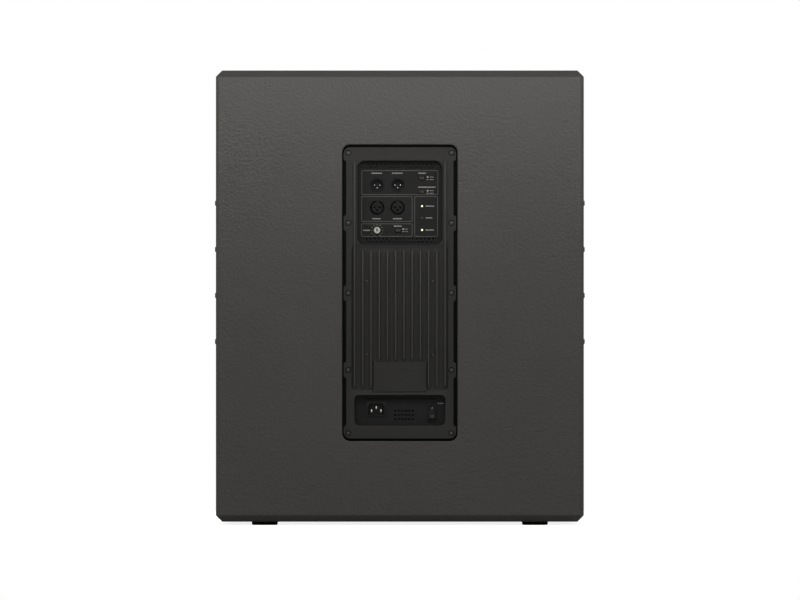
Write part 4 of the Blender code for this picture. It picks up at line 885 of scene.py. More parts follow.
def make_grille():
    """A tray of steel with six sided holes and a plain rim, over a sheet of foam."""
    lowest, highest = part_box("grille")
    width, height = highest.x - lowest.x, highest.z - lowest.z
    depth = highest.y - lowest.y
    at = Vector((0, highest.y, (lowest.z + highest.z) / 2))
    outer = (width, height, 4 * MM)
    thick, rim, fold = 1.5 * MM, 11 * MM, 2.5 * MM
    bend = [
        (grown(outer, fold * (math.cos(turn) - 1)), fold * (math.sin(turn) - 1))
        for turn in QUARTER_TURN
    ]
    rings = [(grown(outer, 0), -depth), *bend, (grown(outer, -rim), 0), (grown(outer, -rim), -thick)]
    rings += [(grown(outer, -thick), -thick), (grown(outer, -thick), -depth)]
    frame_bm = closed_wall(rings)
    cell, web = 9.6 * MM, 1.9 * MM
    hexagon = hexagon_ring(cell, web)
    row_step = cell * math.sqrt(3) / 2
    columns, rows = math.ceil(width / cell) + 2, math.ceil(height / row_step / 2) + 1
    repeated(hexagon, columns, (cell, 0, 0))
    repeated(hexagon, 2, (cell / 2, row_step, 0))
    repeated(hexagon, rows, (0, 2 * row_step, 0))
    bmesh.ops.translate(hexagon, vec=(-columns * cell / 2, -rows * row_step, 0), verts=hexagon.verts[:])
    bmesh.ops.remove_doubles(hexagon, verts=hexagon.verts[:], dist=MESH_WELD)
    sides = [((1, 0, 0), width), ((-1, 0, 0), width), ((0, 1, 0), height), ((0, -1, 0), height)]
    for normal, reach in sides:
        edge = Vector(normal) * (reach / 2 - rim + MM)
        bmesh.ops.bisect_plane(
            hexagon, geom=everything(hexagon), plane_co=edge, plane_no=normal, clear_outer=True
        )
    mesh_sheet = moved(raised(hexagon, thick - 0.3 * MM), (0, 0, -thick + 0.1 * MM))
    bm = joined(frame_bm, mesh_sheet)
    piece("perforated_grille", moved(bm, at, FRONT), GRILLE_PAINT, ("grille",))


def closed_wall(rings):
    """A closed wall through outlines: the loops from the last to the first are bridged too."""
    bm = lofted(rings)
    caps = sorted(bm.faces, key=lambda face: len(face.verts))[-2:]
    loops = [list(face.edges) for face in caps]
    bmesh.ops.delete(bm, geom=caps, context="FACES_ONLY")
    bmesh.ops.bridge_loops(bm, edges=loops[0] + loops[1])
    return outward(bm)


def repeated(bm, count, step):
    """Repeats everything in the mesh so many times, a step apart, by doubling."""
    done = 1
    while done < count:
        more = min(done, count - done)
        made = bmesh.ops.duplicate(bm, geom=everything(bm))
        shift = done if more == done else count - done
        bmesh.ops.translate(bm, vec=Vector(step) * shift, verts=new_verts(made))
        done += more
    bmesh.ops.remove_doubles(bm, verts=bm.verts[:], dist=MESH_WELD)


def make_foam():
    """The sheet of open foam behind the grille, with soft edges."""
    lowest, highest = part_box("grille_foam")
    width, height, depth = highest.x - lowest.x, highest.z - lowest.z, highest.y - lowest.y
    sizes = (width, height, 4 * MM)
    rings = [
        (grown(sizes, -1.5 * MM), 0),
        (grown(sizes, -0.3 * MM), 0.8 * MM),
        (grown(sizes, 0), 2.2 * MM),
        (grown(sizes, 0), depth - 2.2 * MM),
        (grown(sizes, -0.3 * MM), depth - 0.8 * MM),
        (grown(sizes, -1.5 * MM), depth),
    ]
    at = Vector((0, lowest.y, (lowest.z + highest.z) / 2))
    foam = piece("foam_lining", moved(lofted(rings), at, FRONT), FOAM, ("grille_foam",))


# Amplifier casting

PLATE_LOW, PLATE_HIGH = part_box("amp_plate")
FIN_RISE = 3.6 * MM
FACE_Y = PLATE_LOW.y + FIN_RISE
PLATE = (PLATE_HIGH.x - PLATE_LOW.x, PLATE_HIGH.z - PLATE_LOW.z, 9 * MM)
PLATE_Z = (PLATE_LOW.z + PLATE_HIGH.z) / 2
PLATE_THICK = 3.2 * MM
BOSS_HEIGHTS = [height * MM for height in (131.2, 221.3, 331.0, 431.1, 531.1)]
BOSS = 20 * MM
NOTCH = 3.7 * MM
SCREW_X = 73.6 * MM
FIN_PITCH = 11.74 * MM
FIN_COUNT = 12
FIN_TOP = 392.7 * MM
FIN_BOTTOM = 195 * MM
OUTER_FIN_TOP = 521 * MM
INNER_FIN_BOTTOM = 233 * MM
PAD_Z = 211.5 * MM
PLATE_SCREW_WELL = (4.2 * MM, 2.3 * MM)
CONTROL = (121.6 * MM, 119.8 * MM, 11 * MM)
CONTROL_Z = 459.8 * MM
MAINS = (129.2 * MM, 43.3 * MM, 7 * MM)
MAINS_Z = 163.75 * MM
RECESS_WALL = 2.5 * MM
MOUTH_ROUND = 1.6 * MM
SHEET_Y = low("control_panel").y
SHEET_THICK = size("control_panel").y
RECESS_DEPTH = SHEET_Y - FACE_Y
VALLEY = 1.7 * MM
VALLEY_Z = 293.5 * MM
HEAT_SINK_SCREWS = [(side * 47.2 * MM, z * MM) for side in (-1, 1) for z in (348.0, 243.1)]
PLATE_SCREWS = [(side * SCREW_X, z) for side in (-1, 1) for z in BOSS_HEIGHTS]


def on_plate(bm, x=0.0, z=PLATE_Z, lift=0.0):
    """Lays a shape on the casting's face."""
    return moved(bm, (x, FACE_Y - lift, z), REAR)


def mouth_cutter(sizes):
    """The space inside a recess, whose mouth is rounded."""
    rings = [(grown(sizes, 0), -RECESS_DEPTH - OVERRUN), *flared(sizes, MOUTH_ROUND)]
    return lofted([*rings, (grown(sizes, MOUTH_ROUND), OVERRUN)])


def make_fin(index):
    """A rib with sloping sides and ends, and a rounded tip."""
    column = index - (FIN_COUNT - 1) / 2
    top = OUTER_FIN_TOP if abs(column) > 5 else FIN_TOP
    bottom = INNER_FIN_BOTTOM if abs(column) < 3 else FIN_BOTTOM
    length = top - bottom
    rings = [
        ((3.8 * MM, length, 1.8 * MM), -VALLEY - 0.4 * MM),
        ((2.9 * MM, length - 0.2 * MM, 1.4 * MM), 0),
        ((2.1 * MM, length - 8 * MM, 1.0 * MM), FIN_RISE - 0.6 * MM),
        ((1.6 * MM, length - 9.4 * MM, 0.7 * MM), FIN_RISE - 0.15 * MM),
        ((0.8 * MM, length - 10.6 * MM, 0.35 * MM), FIN_RISE),
    ]
    fin = lofted([(flat(*sizes), level) for sizes, level in rings])
    return on_plate(fin, column * FIN_PITCH, (top + bottom) / 2)


def make_casting():
    """The plate with its recesses, notches, fins, pad, seal and screws."""
    bm = slab(grown(PLATE, 0, 8), -PLATE_THICK, 0)
    for side in (-1, 1):
        for below, above in zip(BOSS_HEIGHTS, BOSS_HEIGHTS[1:]):
            length = above - below - BOSS
            notch = slab(flat(2 * NOTCH, length, NOTCH - 0.05 * MM, 6), -PLATE_THICK - MM, MM)
            moved(notch, (side * PLATE[0] / 2, (above + below) / 2 - PLATE_Z, 0))
            bm = carved(bm, notch)
    softened(bm, 0.9 * MM, 3, at_level(0))
    recesses = ((CONTROL, CONTROL_Z), (MAINS, MAINS_Z))
    for sizes, z in recesses:
        tub = slab(grown(sizes, RECESS_WALL), -RECESS_DEPTH + 0.3 * MM, -1.5 * MM)
        bm = carved(bm, moved(tub, (0, z - PLATE_Z, 0)), "UNION")
    for sizes, z in recesses:
        bm = carved(bm, moved(mouth_cutter(sizes), (0, z - PLATE_Z, 0)))
    radius, floor = PLATE_SCREW_WELL
    for x, z in PLATE_SCREWS:
        profile = [
            (0, -floor),
            (radius, -floor),
            (radius, -0.3 * MM),
            (radius + 0.35 * MM, LEVEL_ERROR),
            (radius + 0.35 * MM, MM),
            (0, MM),
        ]
        bm = carved(bm, moved(turned(profile, 24), (x, z - PLATE_Z, 0)))
    valley = [
        ((134.5 * MM, 202 * MM, 6 * MM), -VALLEY),
        ((137 * MM, 214 * MM, 8 * MM), -0.35 * MM),
        ((138.5 * MM, 217 * MM, 9 * MM), LEVEL_ERROR),
        ((138.5 * MM, 217 * MM, 9 * MM), MM),
    ]
    valley = lofted([(flat(*sizes), level) for sizes, level in valley])
    bm = carved(bm, moved(valley, (0, VALLEY_Z - PLATE_Z, 0)))
    for x, z in HEAT_SINK_SCREWS:
        bm = carved(bm, moved(slab(disc(2.6 * MM, 20), -2.9 * MM, MM), (x, z - PLATE_Z, 0)))
    fins = [make_fin(index) for index in range(FIN_COUNT)]
    pad = [
        (flat(79.5 * MM, 46 * MM, 2 * MM), -VALLEY - 0.2 * MM),
        (flat(75.4 * MM, 41.6 * MM, 1.2 * MM), 0),
        (flat(74.8 * MM, 41 * MM, 1 * MM), 0.12 * MM),
    ]
    bm = joined(on_plate(bm), on_plate(lofted(pad), 0, PAD_Z))
    piece("amplifier_casting", bm, CASTING_PAINT, ("amp_plate",))
    # The fins take the lighter copy of the casting's finish, a painted highlight.
    piece("cooling_fins", joined(*fins), FIN_HIGHLIGHT_PAINT)
    # The seal reaches out to the pocket's walls, so the gaps at the notches show it near-black: partly
    # the real seal, partly painted shade.
    seal = slab(grown(POCKET, -0.3 * MM), -PLATE_THICK - 1.3 * MM, -PLATE_THICK - 0.3 * MM)
    seal = carved(seal, slab(grown(CUTOUT, 0), -RECESS_DEPTH, 0))
    piece("amplifier_seal", on_plate(seal), SEAL_RUBBER_AND_SHADE, ("amp_gasket",))
    for index, (x, z) in enumerate(PLATE_SCREWS):
        screw = on_plate(screw_head(3.15 * MM, 2.0 * MM, 1.2), x, z, -2.25 * MM)
        piece(f"plate_screw_{index + 1}", screw, SCREW_BLACK)
    for index, (x, z) in enumerate(HEAT_SINK_SCREWS):
        screw = on_plate(screw_head(2.2 * MM, 1.0 * MM, 2, 6), x, z, -2.85 * MM)
        piece(f"heat_sink_screw_{index + 1}", screw, SCREW_BLACK)


# Control and mains sheets

CONTACT_REACH = 3.81 * MM
SOCKET_XS = {hand: middle(f"{hand}_output_socket").x for hand in ("left", "right")}
SOCKET_RADIUS = size("left_output_socket").x / 2
BORE_RADIUS = 8 * MM
BUTTONS = ("filter_button", "polarity_button", "ground_lift_button")
LEDS = ("signal_led", "limit_led", "power_led")
INK = 0.06 * MM
HIDDEN_RIM = RECESS_WALL - 0.8 * MM
INLET_HOLE = (27.6 * MM, 20.6 * MM)
SWITCH_HOLE = (12.2 * MM, 25.2 * MM)
CUP_FLOOR = 13 * MM
INSERT_LENGTH = 12 * MM
THROW = math.radians(20)

# Rows of vent holes: how many, and their height in mm
CONTROL_VENTS = ((16, 514.8), (17, 510.5), (17, 409.0), (16, 404.5))
MAINS_VENTS = (21, 180.7)
MAINS_GRID = (163.3, 157.4, 151.4)

# Printed frames as left, right, bottom and top, and legends as centre and width, all in mm
FRAMES = (
    (-54.5, 54.5, 471.6, 506.4),
    (-54.8, 17.8, 433.4, 469.3),
    (20.9, 54.1, 412.0, 469.3),
    (-54.8, 17.8, 412.0, 430.4),
)
LEGENDS = (
    (-32.6, 502.4, 15.5),
    (-3.3, 502.4, 15.5),
    (32.0, 502.4, 10.5),
    (38.6, 482.5, 24.5),
    (-33.3, 437.4, 11.5),
    (-3.5, 437.4, 12.5),
    (43.0, 455.4, 11.5),
    (41.6, 438.6, 9.0),
    (43.0, 421.3, 12.0),
    (-47.6, 420.8, 9.0),
    (-2.9, 426.8, 10.5),
)
BUTTON_MARKS = ((39.7, 495.1, 6.0), (39.7, 475.6, 6.0), (4.9, 420.8, 3.4))
TICKS = range(-150, 151, 30)
TICK_REACH = 8.1 * MM
DASHES = (1.7 * MM, 1.1 * MM, 1.4 * MM, 2.0 * MM, 1.2 * MM)
DASH_GAP = 0.45 * MM


def on_sheet(bm, x=0.0, z=0.0, lift=0.0, turn=0.0):
    """Lays a shape on the front of the control sheet or the mains sheet."""
    if turn:
        bmesh.ops.rotate(bm, cent=(0, 0, 0), matrix=Matrix.Rotation(turn, 3, "Z"), verts=bm.verts[:])
    return moved(bm, (x, SHEET_Y - lift, z), REAR)


def spots(shape, places, *sizes, around_z=0.0):
    """Copies of a flat shape at (x, z) places."""
    return [moved(shape(*sizes), (x, z - around_z, 0)) for x, z in places]


def row(count, pitch, z, centre=0.0):
    """Evenly spaced (x, z) places."""
    return [(centre + (index - (count - 1) / 2) * pitch, z) for index in range(count)]


def contact_places(centre=(0, 0)):
    """Left, right and bottom of the contact circle."""
    x, z = centre
    return [(x - CONTACT_REACH, z), (x + CONTACT_REACH, z), (x, z - CONTACT_REACH)]


def make_control_sheet():
    """The sheet in the upper recess, with vents and a hole for each control."""
    vents = []
    for count, z in CONTROL_VENTS:
        vents += row(count, 5.96 * MM, z * MM)
    centre_z = (low("control_panel").z + high("control_panel").z) / 2
    holes = spots(disc, vents, 1.65 * MM, 12, around_z=centre_z)
    sockets = [
        (x, middle(f"left_{kind}_socket").z)
        for x in SOCKET_XS.values()
        for kind in ("output", "input")
    ]
    holes += spots(disc, sockets, SOCKET_RADIUS + 0.3 * MM, 32, around_z=centre_z)
    leds = [(middle(node).x, middle(node).z) for node in LEDS]
    holes += spots(disc, leds, 1.8 * MM, 16, around_z=centre_z)
    knob = middle("level_knob")
    holes += spots(disc, [(knob.x, knob.z)], 2.8 * MM, 16, around_z=centre_z)
    buttons = [(middle(node).x, middle(node).z) for node in BUTTONS]
    holes += spots(flat, buttons, 8.8 * MM, 5.8 * MM, 0.5 * MM, 2, around_z=centre_z)
    sheet = perforated(grown(CONTROL, HIDDEN_RIM), holes, SHEET_THICK)
    sheet = on_sheet(sheet, 0, centre_z, -SHEET_THICK)
    piece("control_sheet", sheet, SHEET_PAINT, ("control_panel",))


def make_mains_sheet():
    """The sheet in the lower recess, with vents and holes for the inlet and the switch."""
    centre_z = (low("mains_panel").z + high("mains_panel").z) / 2
    count, z = MAINS_VENTS
    vents = row(count, 4.96 * MM, z * MM)
    holes = spots(disc, vents, 1.4 * MM, 12, around_z=centre_z)
    grid = []
    for z in MAINS_GRID:
        grid += row(6, 5.0 * MM, z * MM, 6.05 * MM)
    holes += spots(disc, grid, 1.55 * MM, 12, around_z=centre_z)
    inlet, switch = middle("mains_inlet"), middle("power_switch_housing")
    holes += spots(flat, [(inlet.x, inlet.z)], *INLET_HOLE, around_z=centre_z)
    holes += spots(flat, [(switch.x, switch.z)], *SWITCH_HOLE, around_z=centre_z)
    sheet = perforated(grown(MAINS, HIDDEN_RIM), holes, SHEET_THICK)
    sheet = on_sheet(sheet, 0, centre_z, -SHEET_THICK)
    piece("mains_sheet", sheet, SHEET_PAINT, ("mains_panel",))


def printed_frame(left, right, bottom, top, line=0.55 * MM):
    width, height = right - left, top - bottom
    corner = 1.2 * MM
    inner = flat(width - 2 * line, height - 2 * line, corner - line, 3)
    bm = perforated(flat(width, height, corner, 3), [inner], INK)
    return on_sheet(bm, (left + right) / 2, (bottom + top) / 2)


def legend(x, z, width, height=1.5 * MM):
    """A row of plain dashes that stands for a few words."""
    dashes = []
    along = -width / 2
    index = 0
    while along < width / 2 - 0.5 * MM:
        length = min(DASHES[index % len(DASHES)], width / 2 - along)
        dash = slab(flat(length, height), 0, INK)
        dashes.append(on_sheet(dash, x + along + length / 2, z))
        along += length + DASH_GAP
        index += 1
    return dashes


def make_printing():
    lines = [printed_frame(*[edge * MM for edge in box]) for box in FRAMES]
    piece("control_sheet_lines", joined(*lines), FRAME_INK)
    marks = []
    for x, z, width in LEGENDS:
        marks += legend(x * MM, z * MM, width * MM)
    for x, z, reach in BUTTON_MARKS:
        square = slab(flat(2.6 * MM, 1.9 * MM), 0, INK)
        marks.append(on_sheet(square, x * MM, (z + 1.8) * MM))
        marks += legend(x * MM, (z - 1.8) * MM, 2.8 * MM, 0.9 * MM)
        for up in (1.8, -1.8):
            marks += legend((x + 3.2 + reach / 2) * MM, (z + up) * MM, reach * MM, 0.8 * MM)
    knob = middle("level_knob")
    for degrees in TICKS:
        turn = math.radians(degrees)
        x = knob.x + TICK_REACH * math.sin(turn)
        z = knob.z + TICK_REACH * math.cos(turn)
        tick = slab(flat(0.6 * MM, 1.5 * MM), 0, INK)
        marks.append(on_sheet(tick, x, z, 0, -turn))
    piece("control_sheet_legends", joined(*marks), LABEL_INK)
    switch_legend = legend(58.2 * MM, 173.9 * MM, 8.5 * MM, 1.1 * MM)
    piece("mains_sheet_legend", joined(*switch_legend), LABEL_INK)


def make_output_socket(hand):
    """A three pin male socket: a deep black cup with plated pins and a keyway."""
    node = f"{hand}_output_socket"
    at = middle(node)
    front = SHEET_Y - low(node).y
    back = high(node).y - SHEET_Y
    radius = SOCKET_RADIUS
    profile = [
        (0, -CUP_FLOOR),
        (BORE_RADIUS - 0.4 * MM, -CUP_FLOOR),
        (BORE_RADIUS - 0.05 * MM, front - 0.6 * MM),
        (BORE_RADIUS + 0.5 * MM, front - 0.6 * MM),
        (BORE_RADIUS + 0.5 * MM, -back),
        (0, -back),
    ]
    cup = turned(profile, 48)
    flange = [
        (BORE_RADIUS, front - 2.5 * MM),
        (BORE_RADIUS, front - 0.5 * MM),
        (BORE_RADIUS + 0.4 * MM, front - 0.05 * MM),
        (radius - 0.6 * MM, front),
        (radius - 0.1 * MM, front - 0.4 * MM),
        (radius, front - 0.9 * MM),
        (radius, front - 2.5 * MM),
    ]
    ring = on_sheet(turned(flange, 48, closed=True), at.x, at.z)
    piece(f"{hand}_output_socket_flange", ring, SHEET_PLASTIC)
    key = moved(slab(flat(3.4 * MM, 2.4 * MM, 0.6 * MM), -6 * MM, front + MM), (0, BORE_RADIUS, 0))
    cup = carved(cup, key)
    piece(f"{hand}_output_socket_cup", on_sheet(cup, at.x, at.z), BLACK_PLASTIC, (node,))
    pin = [
        (0, -2.4 * MM),
        (0.6 * MM, -2.5 * MM),
        (0.85 * MM, -2.9 * MM),
        (0.95 * MM, -3.6 * MM),
        (0.95 * MM, -CUP_FLOOR - 0.4 * MM),
        (0, -CUP_FLOOR - 0.4 * MM),
    ]
    pins = [on_sheet(turned(pin, 16), x, z) for x, z in contact_places((at.x, at.z))]
    piece(f"{hand}_output_socket_pins", joined(*pins), CONTACT)


def make_input_socket(hand):
    """A three hole female socket: a sunken insert with a deep groove round it, and a release tab."""
    node = f"{hand}_input_socket"
    at = middle(node)
    front = SHEET_Y - low(node).y
    back = high(node).y - SHEET_Y
    radius = SOCKET_RADIUS
    wall, floor = 0.5 * MM, 12.5 * MM
    profile = [
        (0, -floor),
        (radius - wall, -floor),
        (radius - wall, front - 0.25 * MM),
        (radius - wall / 2, front),
        (radius - 0.1 * MM, front - 0.1 * MM),
        (radius, front - 0.3 * MM),
        (radius, -back),
        (0, -back),
    ]
    shell = turned(profile, 48)
    piece(f"{hand}_input_socket_shell", on_sheet(shell, at.x, at.z), BLACK_PLASTIC, (node,))
    holes = [moved(disc(1.5 * MM, 20), (x, z, 0)) for x, z in contact_places()]
    insert = perforated(disc(7.9 * MM, 48), holes, INSERT_LENGTH)
    softened(insert, 0.3 * MM, 2, at_level(INSERT_LENGTH))
    insert = on_sheet(insert, at.x, at.z, front - floor)
    piece(f"{hand}_input_socket_insert", insert, SHEET_PLASTIC)
    tab = slab(flat(4.4 * MM, 2.4 * MM, 0.5 * MM), -2 * MM, front - 0.2 * MM, 0.3 * MM)
    tab = on_sheet(tab, at.x, at.z + 8.1 * MM)
    piece(f"{hand}_input_socket_latch", tab, BLACK_PLASTIC)


def make_knob():
    """A fluted knob with a sunken centre and a dark pointer."""
    at, front = middle("level_knob"), SHEET_Y - low("level_knob").y
    radius = size("level_knob").x / 2
    rear = SHEET_Y - high("level_knob").y
    profile = [
        (0, rear),
        (radius, rear),
        (radius, rear + 1.2 * MM),
        (radius - 0.2 * MM, rear + 1.6 * MM),
        (radius - 0.25 * MM, front - 0.9 * MM),
        (radius - 0.5 * MM, front - 0.3 * MM),
        (radius - 0.95 * MM, front),
        (2.3 * MM, front),
        (2.1 * MM, front - 0.25 * MM),
        (1.9 * MM, front - 0.7 * MM),
        (0, front - 0.8 * MM),
    ]
    steps = 48
    bm = turned(profile, steps)
    for vert in bm.verts:
        reach = math.hypot(vert.co.x, vert.co.y)
        step = round(math.atan2(vert.co.y, vert.co.x) / FULL_TURN * steps)
        if rear + 1.3 * MM < vert.co.z < front - 0.1 * MM and reach > 3.5 * MM and step % 3 == 0:
            bmesh.ops.scale(bm, vec=(0.93, 0.93, 1), verts=[vert])
    piece("level_knob_fluted", on_sheet(bm, at.x, at.z), KNOB_PLASTIC, ("level_knob",), "level_knob")
    dimple = slab(disc(1.95 * MM, 24), front - 1.0 * MM, front - 0.6 * MM)
    dimple = on_sheet(dimple, at.x, at.z)
    piece("level_knob_centre", dimple, KNOB_DIMPLE, (), "level_knob")
    pointer = slab(flat(0.9 * MM, 3.4 * MM, 0.2 * MM, 2), front - 0.75 * MM, front + 0.05 * MM)
    pointer = on_sheet(pointer, at.x, at.z + 2.6 * MM)
    piece("level_knob_pointer", pointer, BLACK_PLASTIC, (), "level_knob")


def make_button(node):
    """A cap with upright ribs, on a stem."""
    at, front = middle(node), SHEET_Y - low(node).y
    width, height = size(node).x, size(node).z
    back = high(node).y - SHEET_Y
    shoulder = 8 * MM
    rings = [
        ((width, height, 0.5 * MM), -shoulder),
        ((width, height, 0.5 * MM), front - 0.9 * MM),
        ((width - 0.3 * MM, height - 0.3 * MM, 0.5 * MM), front - 0.55 * MM),
        ((width - 1.0 * MM, height - 1.0 * MM, 0.5 * MM), front - 0.35 * MM),
    ]
    cap = lofted([(flat(*sizes), level) for sizes, level in rings])
    ribs = []
    for index in range(4):
        rib = slab(flat(0.8 * MM, height - 1.2 * MM, 0.3 * MM, 2), front - 0.6 * MM, front, 0.25 * MM)
        ribs.append(moved(rib, ((index - 1.5) * 1.75 * MM, 0, 0)))
    stem = slab(disc(1.5 * MM, 16), -back, -shoulder + 0.5 * MM)
    cap = on_sheet(joined(cap, stem), at.x, at.z)
    piece(node + "_cap", cap, BLACK_PLASTIC, (node,), node)
    ribs = on_sheet(joined(*ribs), at.x, at.z)
    piece(node + "_ribs", ribs, RIB_PLASTIC, (), node)


def make_leds():
    glows = {
        "signal_led": ((1.0, 1.0, 0.85), (0.02, 0.14, 0.005)),
        "power_led": ((1.0, 1.0, 0.80), (0.13, 0.15, 0.0)),
    }
    for node in LEDS:
        at, front = middle(node), SHEET_Y - low(node).y
        radius = size(node).x / 2
        back = high(node).y - SHEET_Y
        profile = [
            (0, front),
            (radius * 0.4, front - 0.08 * MM),
            (radius * 0.75, front - 0.35 * MM),
            (radius * 0.95, front - 0.75 * MM),
            (radius, front - 1.1 * MM),
            (radius, -back),
            (0, -back),
        ]
        material = DARK_LENS
        if node in glows:
            core, rim = glows[node]
            centre = Vector((at.x, 0, at.z))
            material = glowing(node + "_glow", centre, core, rim, radius)
        piece(node + "_lens", on_sheet(turned(profile, 20), at.x, at.z), material, (node,))


def make_mains_inlet():
    """A flanged shell with two cut corners, and three flat plated pins."""
    at = middle("mains_inlet")
    front = SHEET_Y - low("mains_inlet").y
    cavity = (24 * MM, 17 * MM, 4.5 * MM)
    flange = slab(flat(29 * MM, 22 * MM, 2 * MM), 0.05 * MM, front, 0.45 * MM)
    shell = slab(flat(27 * MM, 20 * MM, 1 * MM), -21 * MM, front - 0.4 * MM)
    parts = [
        carved(part, slab(flat(*cavity, cut=True), -15 * MM, front + MM)) for part in (flange, shell)
    ]
    shell = on_sheet(joined(*parts), at.x, at.z)
    piece("mains_inlet_shell", shell, BLACK_PLASTIC, ("mains_inlet",))
    pins = []
    for x, up in ((0, 1.8), (-6.7, -2.7), (6.7, -2.7)):
        pin = slab(flat(2 * MM, 4 * MM, 0.4 * MM, 2), -15.4 * MM, -2.6 * MM, 0.4 * MM)
        pins.append(on_sheet(pin, at.x + x * MM, at.z + up * MM))
    piece("mains_inlet_pins", joined(*pins), CONTACT)


def make_power_switch():
    """A bezel with a well, and a rocker with its upper half pressed in."""
    node = "power_switch_housing"
    at, sizes = middle(node), size(node)
    front, back = SHEET_Y - low(node).y, high(node).y - SHEET_Y
    bezel = slab(flat(sizes.x, sizes.z, 1.5 * MM), 0.05 * MM, front, 0.6 * MM, 3)
    case = slab(flat(sizes.x - 1.4 * MM, sizes.z - 1.4 * MM, 1 * MM), -back, front - 0.7 * MM)
    rocker_size = size("power_rocker")
    well = (rocker_size.x + 0.6 * MM, 22.9 * MM, 0.8 * MM)
    parts = [carved(part, slab(flat(*well, 2), -6.4 * MM, front + MM)) for part in (bezel, case)]
    piece("power_switch_bezel", on_sheet(joined(*parts), at.x, at.z), BLACK_PLASTIC, (node,))
    pivot_depth, half, face = 2.2 * MM, 9.6 * MM, 4.2 * MM
    ridge, hollow = face + 0.45 * MM, 2.6 * MM
    tip = face + half * math.tan(THROW / 2)
    side = bmesh.new()
    outline = [(-2 * MM, -7 * MM), (tip, -half), (ridge, -hollow), (face, 0)]
    outline += [(ridge, hollow), (tip, half), (-2 * MM, 7 * MM)]
    side.faces.new([side.verts.new((0, along, lift)) for lift, along in outline])
    made = bmesh.ops.extrude_face_region(side, geom=side.faces[:])
    bmesh.ops.translate(side, verts=new_verts(made), vec=(rocker_size.x, 0, 0))
    bmesh.ops.translate(side, verts=side.verts[:], vec=(-rocker_size.x / 2, 0, 0))
    softened(outward(side), 0.45 * MM, 2)
    pivot = Matrix.Translation((at.x, SHEET_Y + pivot_depth, at.z))
    tilt = pivot @ Matrix.Rotation(-THROW / 2, 4, "X") @ REAR
    bmesh.ops.transform(side, matrix=tilt, verts=side.verts[:])
    piece("power_rocker_key", side, SHEET_PLASTIC, ("power_rocker",), "power_rocker")
    slope = math.atan2(tip - ridge, half - hollow)
    stroke = slab(flat(0.7 * MM, 3.4 * MM), -0.02 * MM, INK)
    ring = perforated(disc(1.7 * MM, 24), [disc(1.2 * MM, 24)], INK)
    up = 6 * MM
    lift = ridge + (up - hollow) * math.tan(slope)
    for name, mark, end, ink in (("on", stroke, 1, LABEL_INK), ("off", ring, -1, FRAME_INK)):
        place = Matrix.Translation((0, end * up, lift)) @ Matrix.Rotation(end * slope, 4, "X")
        bmesh.ops.transform(mark, matrix=tilt @ place, verts=mark.verts[:])
        piece(f"power_rocker_{name}_mark", mark, ink, (), "power_rocker")


# Studio

SHOT_WIDTH = 1141.3 * MM
LENS = 1150
SENSOR = 36
WHITE = (1.0, 1.0, 1.0)
WARM = (1.0, 0.985, 0.955)
FLOOR_REACH = 2.2
FLOOR_GLOW = 0.85
FLOOR_BOUNCE = 0.5
FILL_ABOVE = 0.53
FILL_BELOW = 0.30
EYE = (0.2 * MM, 321.4 * MM)
LOW_AIM = (0, 0, 0.3)

# Lamps: name, place, aim, width, height, power and colour
LAMPS = (
    ("upper_softbox", (0, -0.78, 0.70), (0, -0.3, 0.66), 1.5, 0.15, 2.9, WARM),
    ("front_softbox", (0, -3.4, 0.5), LOW_AIM, 2.4, 1.2, 6, WARM),
    ("left_softbox", (-2.2, -1.2, 1.3), LOW_AIM, 0.9, 1.6, 7, WARM),
    ("right_softbox", (2.2, -0.8, 1.3), LOW_AIM, 0.9, 1.6, 7, WARM),
    ("far_softbox", (0.3, 2.4, 1.6), LOW_AIM, 1.6, 1.2, 18, WHITE),
)


def lamp(name, at, target, width, height, power, colour):
    light = bpy.data.lights.new(name, "AREA")
    light.shape = "RECTANGLE"
    light.size, light.size_y = width, height
    light.energy = power
    light.color = colour
    made = bpy.data.objects.new(name, light)
    made.location = at
    made.rotation_euler = (Vector(target) - Vector(at)).to_track_quat("-Z", "Y").to_euler()
    made.visible_camera = False
    bpy.context.scene.collection.objects.link(made)


def make_floor():
    """White as the camera sees it, but dark to the light that would bounce up from it."""
    floor = bpy.data.objects.new("studio_floor", bpy.data.meshes.new("studio_floor"))
    bm = bmesh.new()
    bmesh.ops.create_grid(bm, x_segments=1, y_segments=1, size=FLOOR_REACH)
    bm.to_mesh(floor.data)
    bm.free()
    material, tree, principled = shader("studio_floor_white")
    principled.inputs["Base Color"].default_value = (0.45, 0.45, 0.45, 1)
    principled.inputs["Roughness"].default_value = 0.9
    principled.inputs["Specular IOR Level"].default_value = 0.0
    principled.inputs["Emission Color"].default_value = (*WHITE, 1)
    principled.inputs["Emission Strength"].default_value = FLOOR_GLOW
    dark = tree.nodes.new("ShaderNodeBsdfDiffuse")
    dark.inputs["Color"].default_value = (FLOOR_BOUNCE, FLOOR_BOUNCE, FLOOR_BOUNCE, 1)
    seen = tree.nodes.new("ShaderNodeLightPath")
    mix = tree.nodes.new("ShaderNodeMixShader")
    tree.links.new(seen.outputs["Is Camera Ray"], mix.inputs["Fac"])
    tree.links.new(dark.outputs[0], mix.inputs[1])
    tree.links.new(principled.outputs[0], mix.inputs[2])
    tree.links.new(mix.outputs[0], tree.nodes["Material Output"].inputs["Surface"])
    floor.data.materials.append(material)
    bpy.context.scene.collection.objects.link(floor)


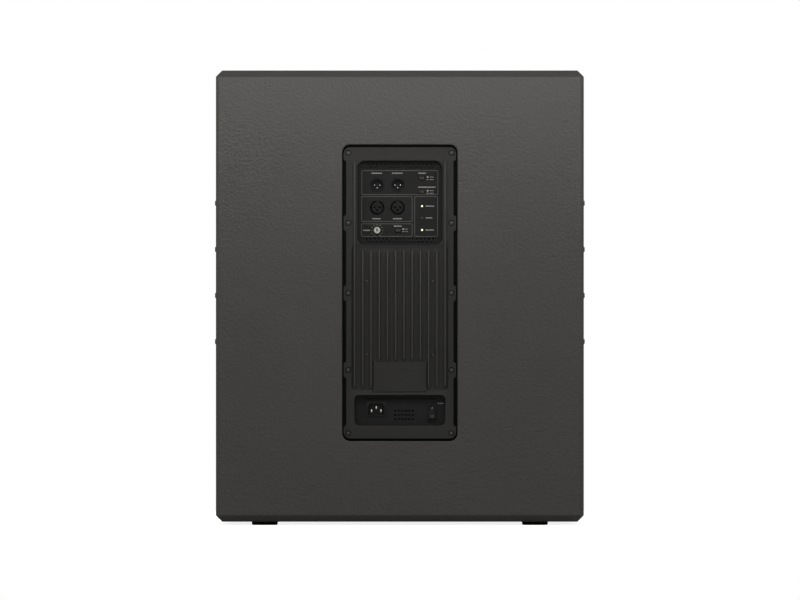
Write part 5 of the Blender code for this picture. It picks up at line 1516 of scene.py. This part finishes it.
def make_sky():
    """White behind everything, and a fill that is stronger from above than from below."""
    world = bpy.data.worlds.new("studio")
    bpy.context.scene.world = world
    world.use_nodes = True
    tree = world.node_tree
    backdrop = tree.nodes["Background"]
    backdrop.inputs["Color"].default_value = (*WHITE, 1)
    direction = tree.nodes.new("ShaderNodeTexCoord").outputs["Generated"]
    height = tree.nodes.new("ShaderNodeMapRange")
    tree.links.new(axes(tree, direction)["Z"], height.inputs["Value"])
    height.inputs["From Min"].default_value = -0.15
    height.inputs["From Max"].default_value = 0.25
    height.inputs["To Min"].default_value = FILL_BELOW
    height.inputs["To Max"].default_value = FILL_ABOVE
    fill = tree.nodes.new("ShaderNodeBackground")
    fill.inputs["Color"].default_value = (*WARM, 1)
    tree.links.new(height.outputs["Result"], fill.inputs["Strength"])
    seen = tree.nodes.new("ShaderNodeLightPath")
    mix = tree.nodes.new("ShaderNodeMixShader")
    tree.links.new(seen.outputs["Is Camera Ray"], mix.inputs["Fac"])
    tree.links.new(fill.outputs[0], mix.inputs[1])
    tree.links.new(backdrop.outputs[0], mix.inputs[2])
    tree.links.new(mix.outputs[0], tree.nodes["World Output"].inputs["Surface"])


def make_camera():
    data = bpy.data.cameras.new("camera")
    data.lens = LENS
    data.sensor_width = SENSOR
    data.clip_end = 200
    camera = bpy.data.objects.new("camera", data)
    away = SHOT_WIDTH * LENS / SENSOR
    camera.location = (EYE[0], CAD_BOX[0].y - away, EYE[1])
    camera.rotation_euler = (math.pi / 2, 0, 0)
    bpy.context.scene.collection.objects.link(camera)
    bpy.context.scene.camera = camera
    bpy.context.scene.view_settings.view_transform = "Standard"


def make_studio():
    make_floor()
    make_sky()
    for settings in LAMPS:
        lamp(*settings)
    make_camera()


for name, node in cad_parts.items():
    node.data.materials[0] = BY_SLOT[SLOTS[name]]

make_cabinet_shell()
make_feet()
make_pole_socket()
make_handle("left", LEFT)
make_handle("right", RIGHT)
make_grille()
make_foam()
make_casting()
make_control_sheet()
make_mains_sheet()
make_printing()
for hand in ("left", "right"):
    make_output_socket(hand)
    make_input_socket(hand)
make_knob()
for node in BUTTONS:
    make_button(node)
make_leds()
make_mains_inlet()
make_power_switch()
make_studio()
